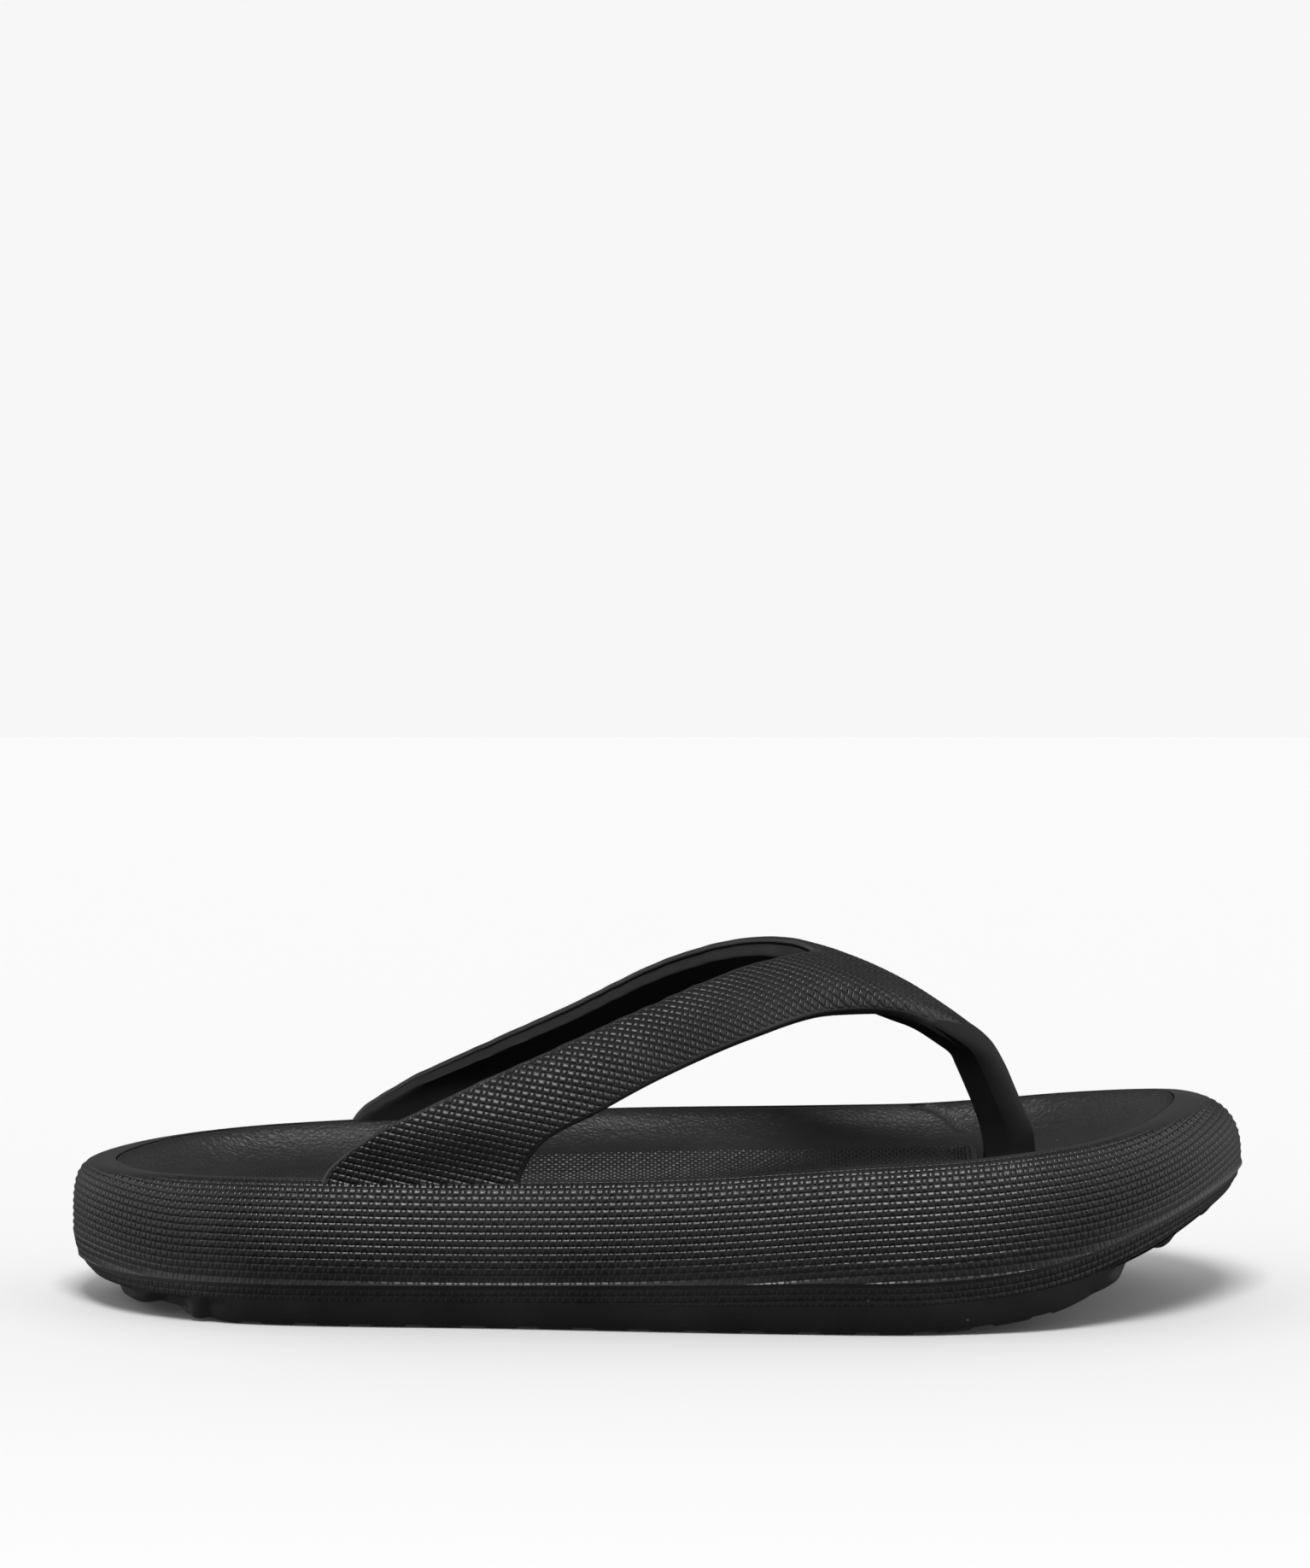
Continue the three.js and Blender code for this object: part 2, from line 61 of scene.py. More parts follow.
camera_data = bpy.data.cameras.new("camera")
camera_data.sensor_width = SENSOR
camera_data.lens = SENSOR * VIEW_DISTANCE / VIEW_HEIGHT
camera_data.shift_y = 0.2244
camera_data.dof.use_dof = False
camera_data.clip_end = 60
camera = bpy.data.objects.new("camera", camera_data)
camera.location = (
    AIM[0],
    AIM[1] - VIEW_DISTANCE * math.cos(VIEW_TILT),
    AIM[2] + VIEW_DISTANCE * math.sin(VIEW_TILT),
)
camera.rotation_euler = (math.pi / 2 - VIEW_TILT, 0, 0)
bpy.context.scene.collection.objects.link(camera)
bpy.context.scene.camera = camera
print("camera", round(camera_data.lens), "mm lens")

# %% [markdown]
# ## Floor and light
# Black foam shows its shape only by what it reflects. One soft lamp hangs above and in front of the shoe:
# it lights the upper rows of the weave, leaves the footbed black, and throws the shadow back under the
# toe. The space is bright beyond the two ends, which draws the rims of the toe and the heel. Floor and
# wall are paper that shows from its front only, so that the shoe can also be looked at from behind.


# %% Small helpers for nodes and objects
def deselect_all():
    if bpy.context.object and bpy.context.object.mode != "OBJECT":
        bpy.ops.object.mode_set(mode="OBJECT")
    bpy.ops.object.select_all(action="DESELECT")


def add_node(tree, kind, **settings):
    """A node with its settings; a setting whose name starts with in_ is an input's value."""
    node = tree.nodes.new(kind)
    for key, value in settings.items():
        if key.startswith("in_"):
            node.inputs[key[3:].replace("_", " ")].default_value = value
        else:
            setattr(node, key, value)
    return node


def add_math(tree, operation, first, second):
    node = add_node(tree, "ShaderNodeMath", operation=operation)
    for socket, value in zip(node.inputs, (first, second)):
        if isinstance(value, (int, float)):
            socket.default_value = value
        else:
            tree.links.new(value, socket)
    return node.outputs[0]


def add_ramp(tree, value, low, high, start, end):
    """A Map Range that takes low..high to start..end and stays within them."""
    node = add_node(tree, "ShaderNodeMapRange", in_From_Min=low, in_From_Max=high)
    node.inputs["To Min"].default_value = start
    node.inputs["To Max"].default_value = end
    tree.links.new(value, node.inputs["Value"])
    return node.outputs["Result"]


# %% Floor
FLOOR_SIZE = 12.0
WALL_AT = 0.95  # how far behind the shoe the paper turns up into a wall
PAPER_LEVEL = 0.93
PAPER_WHITE = 0.6
LAMP_AT = (0.0, -1.05, 2.15)
LAMP_SIZE = 0.9
LAMP_WATTS = 56
SPACE_LIGHT = 0.37  # what the bright space adds to the paper


def paper_material(name, white, foot=None):
    """Matt paper, clear from its back. It glows by what the lamp over its foot point leaves short."""
    paper = bpy.data.materials.new(name)
    paper.use_nodes = True
    tree = paper.node_tree
    shader = tree.nodes["Principled BSDF"]
    shader.inputs["Base Color"].default_value = (white, white, white, 1)
    shader.inputs["Roughness"].default_value = 1.0
    shader.inputs["Specular IOR Level"].default_value = 0.0
    shader.inputs["Emission Color"].default_value = (1, 1, 1, 1)
    shader.inputs["Emission Strength"].default_value = PAPER_LEVEL
    if foot is not None:
        away = add_node(tree, "ShaderNodeVectorMath", operation="SUBTRACT")
        tree.links.new(add_node(tree, "ShaderNodeTexCoord").outputs["Object"], away.inputs[0])
        away.inputs[1].default_value = foot
        square = add_node(tree, "ShaderNodeVectorMath", operation="DOT_PRODUCT")
        tree.links.new(away.outputs[0], square.inputs[0])
        tree.links.new(away.outputs[0], square.inputs[1])
        spread = add_math(tree, "MULTIPLY_ADD", square.outputs["Value"], 1 / LAMP_AT[2] ** 2)
        spread.node.inputs[2].default_value = 1.0
        beneath = white * LAMP_WATTS / math.pi**2 / LAMP_AT[2] ** 2
        lit = add_math(tree, "DIVIDE", beneath, add_math(tree, "POWER", spread, 1.5))
        short = add_math(tree, "SUBTRACT", PAPER_LEVEL - SPACE_LIGHT, lit)
        tree.links.new(add_math(tree, "MAXIMUM", short, 0.0), shader.inputs["Emission Strength"])
    one_sided = add_node(tree, "ShaderNodeMixShader")
    tree.links.new(add_node(tree, "ShaderNodeNewGeometry").outputs["Backfacing"], one_sided.inputs[0])
    tree.links.new(shader.outputs[0], one_sided.inputs[1])
    tree.links.new(add_node(tree, "ShaderNodeBsdfTransparent").outputs[0], one_sided.inputs[2])
    tree.links.new(one_sided.outputs[0], tree.nodes["Material Output"].inputs["Surface"])
    return paper


def add_sheet_of_paper(name, place, turn, material):
    """A sheet that the camera sees but the black foam doesn't mirror, as behind a studio's flags."""
    deselect_all()
    bpy.ops.mesh.primitive_plane_add(size=FLOOR_SIZE, location=place, rotation=turn)
    sheet = bpy.context.object
    sheet.name = name
    sheet.data.materials.append(material)
    sheet.visible_glossy = False


FLOOR_MIDDLE = WALL_AT - FLOOR_SIZE / 2
floor_paper = paper_material("floor_paper", PAPER_WHITE, (LAMP_AT[0], LAMP_AT[1] - FLOOR_MIDDLE, 0))
add_sheet_of_paper("floor", (0, FLOOR_MIDDLE, 0), (0, 0, 0), floor_paper)
wall_paper = paper_material("wall_paper", 0.0)
add_sheet_of_paper("backdrop", (0, WALL_AT, FLOOR_SIZE / 2), (math.pi / 2, 0, 0), wall_paper)
print("floor and backdrop", FLOOR_SIZE, "m wide")


# %% Lights
ENDS_LIGHT = 1.1  # the space beyond the toe and the heel
ENDS_BELOW = 0.25  # the share of it that comes from under the horizon
ROOM_LIGHT = (0.06, 0.2)  # from all round, at the bottom and at the top

lamp_data = bpy.data.lights.new("lamp", "AREA")
lamp_data.shape = "RECTANGLE"
lamp_data.size = lamp_data.size_y = LAMP_SIZE
lamp_data.energy = LAMP_WATTS
lamp = bpy.data.objects.new("lamp", lamp_data)
lamp.location = LAMP_AT
lamp.rotation_euler = (math.atan2(-LAMP_AT[1], LAMP_AT[2]), 0, 0)  # it faces the shoe
bpy.context.scene.collection.objects.link(lamp)

world = bpy.data.worlds.new("studio_space")
bpy.context.scene.world = world
world.use_nodes = True
world_tree = world.node_tree
background = world_tree.nodes["Background"]
where = add_node(world_tree, "ShaderNodeTexCoord")
parts = add_node(world_tree, "ShaderNodeSeparateXYZ")
world_tree.links.new(where.outputs["Generated"], parts.inputs[0])
sideways = add_math(world_tree, "ABSOLUTE", parts.outputs["X"], 0)
sides = add_ramp(world_tree, sideways, 0.4, 0.9, 0.0, ENDS_LIGHT)
below = add_ramp(world_tree, parts.outputs["Z"], -0.3, 0.15, ENDS_BELOW, 1.0)
light = add_math(world_tree, "MULTIPLY", sides, below)
room = add_ramp(world_tree, parts.outputs["Z"], -0.6, 0.5, *ROOM_LIGHT)
light = add_math(world_tree, "ADD", light, room)
seen = add_node(world_tree, "ShaderNodeMix", data_type="FLOAT", in_B=PAPER_LEVEL)
ray = add_node(world_tree, "ShaderNodeLightPath")
world_tree.links.new(ray.outputs["Is Camera Ray"], seen.inputs["Factor"])
world_tree.links.new(light, seen.inputs["A"])
world_tree.links.new(seen.outputs[0], background.inputs["Color"])
background.inputs["Strength"].default_value = 1.0
bpy.context.scene.view_settings.view_transform = "Standard"
print("lamp", LAMP_WATTS, "W, and the studio space")

# %% [markdown]
# ## The form of the sole
# All the sole's layers share one form, given by a plan outline and a few curves along the length. The
# helpers below give points on it in millimetres: round the outline, down the wall, and over the dish.


# %% Curves
def smoothstep(value, low, high):
    t = np.clip((np.asarray(value, float) - low) / (high - low), 0, 1)
    return t * t * (3 - 2 * t)


def mix(a, b, share):
    return a + (b - a) * share


def profile(knots):
    """A smooth curve through (x, value) knots that is level where its knots are."""
    x, v = np.array(knots, float).T
    secant = np.diff(v) / np.diff(x)
    before = np.concatenate([secant[:1], secant])
    after = np.concatenate([secant, secant[-1:]])
    slopes = np.where(before * after <= 0, 0, (before + after) / 2)

    def curve(at):
        at = np.asarray(at, float)
        i = np.clip(np.searchsorted(x, at, side="right") - 1, 0, len(x) - 2)
        span = x[i + 1] - x[i]
        t = np.clip((at - x[i]) / span, 0, 1)
        u = 1 - t
        ends = v[i] * (1 + 2 * t) * u * u + v[i + 1] * (1 + 2 * u) * t * t
        return ends + span * t * u * (slopes[i] * u - slopes[i + 1] * t)

    return curve


def through(points, share, closed):
    """Points on a centripetal Catmull-Rom curve, at shares of its length in knots."""
    points = np.array(points, float)
    count = len(points)
    spans = count if closed else count - 1
    place = np.asarray(share, float) * spans
    i = np.clip(np.floor(place).astype(int), 0, spans - 1)
    t = (place - i)[..., None]
    if closed:
        knots = [points[(i + k) % count] for k in (-1, 0, 1, 2)]
    else:
        padded = np.vstack([2 * points[0] - points[1], points, 2 * points[-1] - points[-2]])
        knots = [padded[i + k] for k in range(4)]
    p0, p1, p2, p3 = knots
    step = [np.linalg.norm(b - a, axis=-1)[..., None] ** 0.5 for a, b in zip(knots, knots[1:])]
    d0, d1, d2 = (np.maximum(s, 1e-4) for s in step)
    m1 = d1 * ((p1 - p0) / d0 - (p2 - p0) / (d0 + d1) + (p2 - p1) / d1)
    m2 = d1 * ((p2 - p1) / d1 - (p3 - p1) / (d1 + d2) + (p3 - p2) / d2)
    cubic = 2 * p1 - 2 * p2 + m1 + m2
    square = -3 * p1 + 3 * p2 - 2 * m1 - m2
    return p1 + m1 * t + square * t**2 + cubic * t**3


# %% The sole's driving dimensions, in millimetres
SOLE_LENGTH = 265
SOLE_WIDTH = 104
HALF = SOLE_LENGTH / 2
GAP = 0.3
OUTLINE = [
    (-132.5, 1), (-128.5, -13), (-116, -28), (-93, -38), (-33, -44), (25, -50), (62, -51.5),
    (90, -46.5), (109, -37), (124, -19), (132.5, 4), (127, 24), (112, 39.5), (92, 48.5),
    (60, 51.5), (15, 47), (-33, 41.5), (-93, 40), (-116, 30), (-128.5, 15),
]
STRAIGHT_INSET = 15
SPINE = (-92.5, 86.5)
SPINE_Y = 1.5
underside = profile([(-132.5, 0), (50, 0), (84, 2.9), (102, 7.4), (118, 12.2), (132.5, 17.5)])
rim_outer = profile(
    [(-132.5, 31.4), (-90, 33), (-33, 33.4), (6, 34.7), (45, 37.6), (75, 39.4), (132.5, 45)])
rim_inner = profile(
    [(-132.5, 31.4), (-90, 33), (-6, 36.2), (46, 35.9), (64, 36.3), (104, 40.4), (132.5, 45)])
outsole_seam = profile([(-132.5, 0.19), (90, 0.185), (115, 0.2), (132.5, 0.28)])
parting_seam = profile([(-132.5, 0.31), (-90, 0.3), (25, 0.333), (95, 0.34), (112, 0.39), (132.5, 0.45)])
crest_inset = profile([(-132.5, 9.6), (-105, 6.8), (90, 6.5), (115, 9.5), (132.5, 15)])
under_inset = profile(
    [(-132.5, 23), (-120, 12), (-106, 5), (-90, 4), (88, 4), (104, 9), (118, 16), (132.5, 23)])
dish = profile([(0, 0), (2, -0.7), (6, -4), (10.5, -6.6), (20, -8.8), (30, -10)])
DISH_END = 30
CORE_INSET = 22  # how far in the flat faces between the layers start
WIDEST_SHARE = 0.5
UNDER_FULLNESS = 2.1
upper_fullness = profile([(-132.5, 3.9), (-106, 2.2), (112, 2.2), (132.5, 2.6)])
print("sole", SOLE_LENGTH, "by", SOLE_WIDTH, "mm")


# %% Points on the sole's form
def rim_at(x, y):
    return mix(rim_outer(x), rim_inner(x), smoothstep(y, -25, 25))


def stations(count):
    """Points and outward directions at even steps round the outline; the last repeats the first."""
    dense = through(OUTLINE, np.linspace(0, 1, 8001), closed=True)
    low, high = dense.min(0), dense.max(0)
    dense = (dense - (low + high) / 2) * np.array([SOLE_LENGTH, SOLE_WIDTH]) / (high - low)
    walked = np.concatenate([[0], np.cumsum(np.linalg.norm(np.diff(dense, axis=0), axis=1))])
    at = np.linspace(0, walked[-1], count + 1)
    point = np.stack([np.interp(at, walked, dense[:, k]) for k in (0, 1)], axis=1)
    point[-1] = point[0]
    ahead, behind = np.roll(point[:-1], -4, axis=0), np.roll(point[:-1], 4, axis=0)
    tangent = ahead - behind
    tangent /= np.linalg.norm(tangent, axis=1)[:, None]
    outward = np.stack([tangent[:, 1], -tangent[:, 0]], axis=1)
    return point, np.vstack([outward, outward[:1]])


def wall_inset(x, h):
    under = h < WIDEST_SHARE
    s = np.where(under, 1 - h / WIDEST_SHARE, (h - WIDEST_SHARE) / (1 - WIDEST_SHARE))
    power = np.where(under, UNDER_FULLNESS, upper_fullness(x))
    depth = 1 - np.maximum(0, 1 - np.clip(s, 0, 1) ** power) ** (1 / power)
    return np.where(under, under_inset(x), crest_inset(x)) * depth


def wall_ring(ring, h, lift=0.0):
    """A ring on the outer wall at shares h of its height."""
    point, outward = ring
    x, y = point.T
    plan = point - outward * wall_inset(x, h)[:, None]
    return np.column_stack([plan, mix(underside(x), rim_at(x, y), h) + lift])


def inset_plan(ring, inset):
    """The outline moved in: first square to itself, then towards the sole's spine."""
    point, outward = ring
    inset = np.broadcast_to(inset, point.shape[:1])
    plan = point - outward * np.minimum(inset, STRAIGHT_INSET)[:, None]
    spine = np.column_stack([np.clip(plan[:, 0], *SPINE), np.full(len(plan), SPINE_Y)])
    away = spine - plan
    away /= np.linalg.norm(away, axis=1)[:, None]
    return plan + away * np.maximum(inset - STRAIGHT_INSET, 0)[:, None]


def dish_ring(ring, distance, sink=0.0):
    """A ring on the dished footbed, at a distance in from the rim's crest."""
    x, y = ring[0].T
    plan = inset_plan(ring, crest_inset(x) + distance)
    inwards = smoothstep(distance, 0, DISH_END)
    height = rim_at(mix(x, plan[:, 0], inwards), mix(y, plan[:, 1], inwards))
    return np.column_stack([plan, height + dish(distance) - sink])


def layer_ring(ring, inset, seam, lift=0.0):
    """A ring on the hidden flat face of a layer."""
    plan = inset_plan(ring, inset)
    x = plan[:, 0]
    return np.column_stack([plan, mix(underside(x), rim_at(x, 0 * x), seam(x)) + lift])


def to_middle(row, shares):
    """Rows from a ring to its own middle line, where its two sides meet and close the layer."""
    middle = (row + row[::-1]) / 2
    return [mix(row, middle, share) for share in shares]


# %% [markdown]
# ## Wrapping a sheet on a form
# Each layer starts as a flat grid, like a sheet of foam before it is pressed. Every corner of the grid
# is then laid on the form, row by row, and the seams are welded. Extruding and bevelling by hand can't
# give a weave that follows the wall all round, so the relief is pressed into the sheet here instead.


# %% Sheet tools
def wrap_sheet(name, rows, marks=None, threads=None, smooth_below=70):
    """A grid laid on rows of points (in mm) and welded. Marks become attributes, threads its UV map."""
    rows = np.asarray(rows)
    down, round_ = rows.shape[0] - 1, rows.shape[1] - 1
    deselect_all()
    bpy.ops.mesh.primitive_grid_add(x_subdivisions=round_, y_subdivisions=down, size=1)
    piece = bpy.context.object
    piece.name = piece.data.name = name
    mesh = piece.data
    flat = np.empty(len(mesh.vertices) * 3)
    mesh.vertices.foreach_get("co", flat)
    flat = flat.reshape(-1, 3)
    column = np.rint((flat[:, 0] + 0.5) * round_).astype(int)
    row = np.rint((flat[:, 1] + 0.5) * down).astype(int)
    mesh.vertices.foreach_set("co", (rows[row, column] * MM).ravel())
    for mark, values in (marks or {}).items():
        attribute = mesh.attributes.new(mark, "FLOAT", "POINT")
        attribute.data.foreach_set("value", np.asarray(values)[row, column].astype(np.float32))
    if threads is not None:
        corner = np.empty(len(mesh.loops), np.int32)
        mesh.loops.foreach_get("vertex_index", corner)
        place = np.stack(threads, axis=-1)[row, column]
        mesh.uv_layers.active.data.foreach_set("uv", place[corner].astype(np.float32).ravel())
    bpy.ops.object.mode_set(mode="EDIT")
    bpy.ops.mesh.select_all(action="SELECT")
    bpy.ops.mesh.remove_doubles(threshold=2e-6)
    bpy.ops.mesh.dissolve_degenerate(threshold=1e-6)
    bpy.ops.mesh.normals_make_consistent(inside=False)
    bpy.ops.object.mode_set(mode="OBJECT")
    bpy.ops.object.shade_smooth_by_angle(angle=math.radians(smooth_below))
    print(name, len(mesh.polygons), "faces")
    return piece


def press(rows, height):
    """Moves each point of the rows out along the sheet's normal by a height in mm."""
    rows = np.asarray(rows)
    padded = np.concatenate([rows[:, -2:-1], rows, rows[:, 1:2]], axis=1)
    round_ = padded[:, 2:] - padded[:, :-2]
    down = np.gradient(rows, axis=0)
    normal = np.cross(down, round_)
    normal /= np.maximum(np.linalg.norm(normal, axis=2), 1e-9)[..., None]
    return rows + normal * np.asarray(height)[..., None]


def mottle(points, size, seed, waves=9):
    """Smooth irregular values, mostly from -1 to 1, with patches of about a size in mm."""
    random = np.random.default_rng(seed)
    total = 0
    for _ in range(waves):
        direction = random.normal(size=3)
        direction *= 2 * math.pi / (size * random.uniform(0.7, 1.4)) / np.linalg.norm(direction)
        total = total + np.sin(points @ direction + random.uniform(0, 2 * math.pi))
    return total / math.sqrt(waves)


def weave(across, along):
    """Height from 0 to 1 of a plain weave, at places given in threads: rows run across."""
    row = np.floor(along)
    from_long = np.abs(np.mod(across + row + 0.5, 2) - 1)  # from the middle of a crosswise float
    from_short = 1 - from_long
    from_row = np.abs(along - row - 0.5) / 0.5

    def pillow(off, reach, fullness):
        return 1 - np.clip(off / reach, 0, 1) ** fullness

    over = pillow(from_long, 0.64, 4) * pillow(from_row, 1, 2)
    under = 0.65 * pillow(from_short, 0.42, 3) * pillow(from_row, 1, 2)
    return np.maximum(over, under)


# %% [markdown]
# ## The upper midsole
# The main block of foam shows its side wall and its lip. The wall carries a moulded weave whose rows
# follow the rim. Each thread is three grid steps wide, with a step on each groove, so that the grooves
# stay crisp. The lip is left smooth: a thin line along the sides, and a broad rounded rim at both ends.

# %% Upper midsole: the wall
COLUMN_PITCH = 1.45
ROW_PITCH = 1.62
STEPS = 3  # grid steps in a thread
WEAVE_HEIGHT = 0.36
LOW_WEAVE = 0.3  # share of the weave's height that is left at the parting line
FADE_HEIGHT = 9  # height above the parting line from which the weave is whole
EDGE_DROP = 0.45  # how far the wall turns in at the parting line
EDGE_WIDTH = 0.9
lip_width = profile(
    [(-132.5, 6.5), (-120, 4), (-104, 1.3), (96, 1.3), (112, 2.6), (124, 5), (132.5, 7)])

outline_length = np.linalg.norm(np.diff(stations(2000)[0], axis=0), axis=1).sum()
columns = 2 * round(outline_length / COLUMN_PITCH / 2)
ring = stations(columns * STEPS)
ring_x = ring[0][:, 0]


def wall_by_length(ring, top, bottom, samples=240):
    """The wall between two shares of its height, as points and lengths down from its top."""
    shares = np.linspace(0, 1, samples)
    points = np.array([wall_ring(ring, mix(top, bottom, s)) for s in shares])
    steps = np.linalg.norm(np.diff(points, axis=0), axis=2)
    walked = np.concatenate([np.zeros((1, steps.shape[1])), np.cumsum(steps, axis=0)])
    return points, walked


def at_lengths(points, walked, lengths):
    """Points at given lengths down the wall, one row of lengths for each row of the result."""
    result = np.empty(lengths.shape + (3,))
    for k in range(lengths.shape[1]):
        for axis in range(3):
            result[:, k, axis] = np.interp(lengths[:, k], walked[:, k], points[:, k, axis])
    return result


def weave_rows(total, pitch, tail):
    """Lengths down a wall: whole thread steps as far as all columns reach, then a stretched tail."""
    step = pitch / STEPS
    whole = int(total.min() / step) - 1
    lengths = [np.full_like(total, k * step) for k in range(whole + 1)]
    rest = np.linspace(0, 1, tail + 1)[1:]
    lengths += [mix(whole * step, total, share) for share in rest]
    return np.array(lengths)


column_threads = np.broadcast_to(np.arange(columns * STEPS + 1) / STEPS, ring_x.shape)
points, walked = wall_by_length(ring, 1.0, parting_seam(ring_x))
wall_total = walked[-1]
lengths = weave_rows(wall_total, ROW_PITCH, tail=5)
wall = at_lengths(points, walked, lengths)
row_threads = lengths / ROW_PITCH
threads = weave(np.broadcast_to(column_threads, lengths.shape), row_threads)
lip = smoothstep(lengths, lip_width(ring_x) - 0.4, lip_width(ring_x) * 1.3)
fade = mix(LOW_WEAVE, 1.0, smoothstep(wall_total - lengths, 0.6, FADE_HEIGHT))
uneven = 1 + 0.14 * mottle(wall, 9, seed=3)
relief = WEAVE_HEIGHT * threads * lip * fade * uneven
edge = EDGE_DROP * smoothstep(lengths, wall_total - EDGE_WIDTH, wall_total)
wall = press(wall, -(relief - edge))
print("wall", round(float(wall_total.min()), 1), "to", round(float(wall_total.max()), 1), "mm")

# %% Upper midsole: the seat for the footbed, and the sheet
SEAT_DEPTH = 4.6

inner_lip = [dish_ring(ring, d) for d in (0.15, 0.3)]
seat = [dish_ring(ring, 0.3, sink) for sink in (0.4, 1.2, SEAT_DEPTH)]
seat += [dish_ring(ring, d, SEAT_DEPTH) for d in (6, 10.5, 27)]
seat_rows = to_middle(seat[-1], (1, 0.5))
floor_ring = layer_ring(ring, CORE_INSET, parting_seam, GAP)
floor_rows = [floor_ring] + to_middle(floor_ring, (0.5, 1))
rows = seat_rows + seat[::-1] + inner_lip[::-1] + list(wall) + floor_rows
inside = len(seat_rows) + len(seat) + len(inner_lip)
flat_mark = np.zeros((inside, len(ring_x)))
hidden = np.ones((len(floor_rows), len(ring_x)))
marks = {
    "lip": np.concatenate([flat_mark + 1, 1 - lip, hidden]),
    "woven": np.concatenate([flat_mark, lip * fade, 0 * hidden]),
}
thread_rows = np.concatenate([flat_mark, row_threads, hidden * row_threads[-1]])
thread_places = (np.broadcast_to(column_threads, thread_rows.shape), thread_rows)
upper_midsole = wrap_sheet("upper_midsole_foam", rows, marks, thread_places)

# %% [markdown]
# ## The lower midsole
# Below the parting line of the mould a shorter band of the same weave runs down to the outsole. Its top
# edge carries the flash: a thin raised line all round, which grows to a small nib at the tip of the toe.

# %% Lower midsole
FLASH = 0.06
NIB = 1.1
BAND_FROM = 0.9  # how far below the parting line the weave starts

points, walked = wall_by_length(ring, parting_seam(ring_x), outsole_seam(ring_x))
band_total = walked[-1]
first = np.array([0.0, 0.25, 0.55, BAND_FROM])[:, None] * np.ones_like(band_total)
rest = BAND_FROM + weave_rows(band_total - BAND_FROM, ROW_PITCH, tail=3)[1:]
lengths = np.concatenate([first, rest])
band = at_lengths(points, walked, lengths)
row_threads = (lengths - BAND_FROM) / ROW_PITCH
threads = weave(np.broadcast_to(column_threads, lengths.shape), row_threads)
clear = smoothstep(lengths, 0.7, 1.3) * mix(0.35, 0.75, smoothstep(ring_x, 40, 110))
flash = (FLASH + NIB * np.exp(-(((ring_x - HALF) / 2.5) ** 2))) * smoothstep(lengths, 0.8, 0.1)
flash = flash * (1 + 0.35 * mottle(band, 5, seed=11))
band = press(band, -(WEAVE_HEIGHT * threads * clear + flash))
top_ring = layer_ring(ring, CORE_INSET, parting_seam)
under_ring = layer_ring(ring, CORE_INSET, outsole_seam, GAP)
above = to_middle(top_ring, (1, 0.5)) + [top_ring]
beneath = [under_ring] + to_middle(under_ring, (0.5, 1))
rows = above + list(band) + beneath
on_band = slice(len(above), len(above) + len(band))
woven = np.zeros((len(rows), len(ring_x)))
woven[on_band] = clear
thread_rows = 0 * woven
thread_rows[on_band] = row_threads
thread_places = (np.broadcast_to(column_threads, thread_rows.shape), thread_rows)
marks = {"lip": 0 * woven, "woven": woven}
lower_midsole = wrap_sheet("lower_midsole_foam", rows, marks, thread_places)

# %% [markdown]
# ## The outsole
# The outsole is a smooth rubber band at the bottom of the wall and the tread under it. Wavy grooves run
# across the tread and cut through its edge, which leaves lugs whose rounded ends show from the side.

# %% Outsole
GROOVE_PITCH = 12.8
GROOVE_HALF = 2.3
GROOVE_DEPTH = 2.0
GROOVE_ROUND = 0.7
END_ROUND = 1.9  # how round the lugs are at the toe and the heel
LUG_HEIGHT = 2.4  # how far the lugs stand out where the toe and the heel lift off the ground
SIDE_SHARE = 0.35  # how deep the grooves are in the side, as a share of their depth in the tread
FIRST_GROOVE = 15  # from the heel's end
TREAD_LENGTH = SOLE_LENGTH - 23
WAVE_LENGTH = 38
WAVE_HEIGHT = 2.2
UNDER_STEPS = 15


def groove(points):
    """1 in the middle of a tread groove, 0 on a lug."""
    x, y = points[..., 0], points[..., 1]
    along = x - (FIRST_GROOVE - HALF) - WAVE_HEIGHT * np.sin(2 * math.pi * y / WAVE_LENGTH)
    off = np.abs(np.mod(along + GROOVE_PITCH / 2, GROOVE_PITCH) - GROOVE_PITCH / 2)
    within = (along > -GROOVE_PITCH / 2) & (along < TREAD_LENGTH + GROOVE_PITCH / 2)
    soft = mix(GROOVE_ROUND, END_ROUND, smoothstep(np.abs(x), 90, 108))
    return within * smoothstep((off - GROOVE_HALF) / soft, 1, -1)


shares = np.sin(np.linspace(0, math.pi / 2, 15))[::-1]
side_rows = [wall_ring(ring, share * outsole_seam(ring_x)) for share in shares]
tread_ring = layer_ring(ring, CORE_INSET, lambda x: 0 * x)
tread_rows = [mix(side_rows[-1], tread_ring, s) for s in np.linspace(0, 1, 8)[1:]]
middle_rows = to_middle(tread_ring, np.linspace(0, 1, UNDER_STEPS)[1:])
outer = np.array(side_rows + tread_rows + middle_rows)
share = np.ones((len(outer), 1))
share[: len(side_rows), 0] = SIDE_SHARE
grooves = groove(outer)
level = underside(outer[..., 0]) + GROOVE_DEPTH * share * grooves
outer[..., 2] = np.maximum(outer[..., 2], level)
ends = smoothstep(np.abs(outer[..., 0]), 94, 108)
low = smoothstep(np.arange(len(outer)), 2, 8)[:, None] * smoothstep(outer[..., 0], 131, 126)
outer = press(outer, -LUG_HEIGHT * ends * low * (1 - grooves))
outer[..., 2] = np.maximum(outer[..., 2], 0)
top_ring = layer_ring(ring, CORE_INSET, outsole_seam)
rows = to_middle(top_ring, (1, 0.5)) + [top_ring] + list(outer)
outsole = wrap_sheet("outsole_rubber", rows, smooth_below=50)

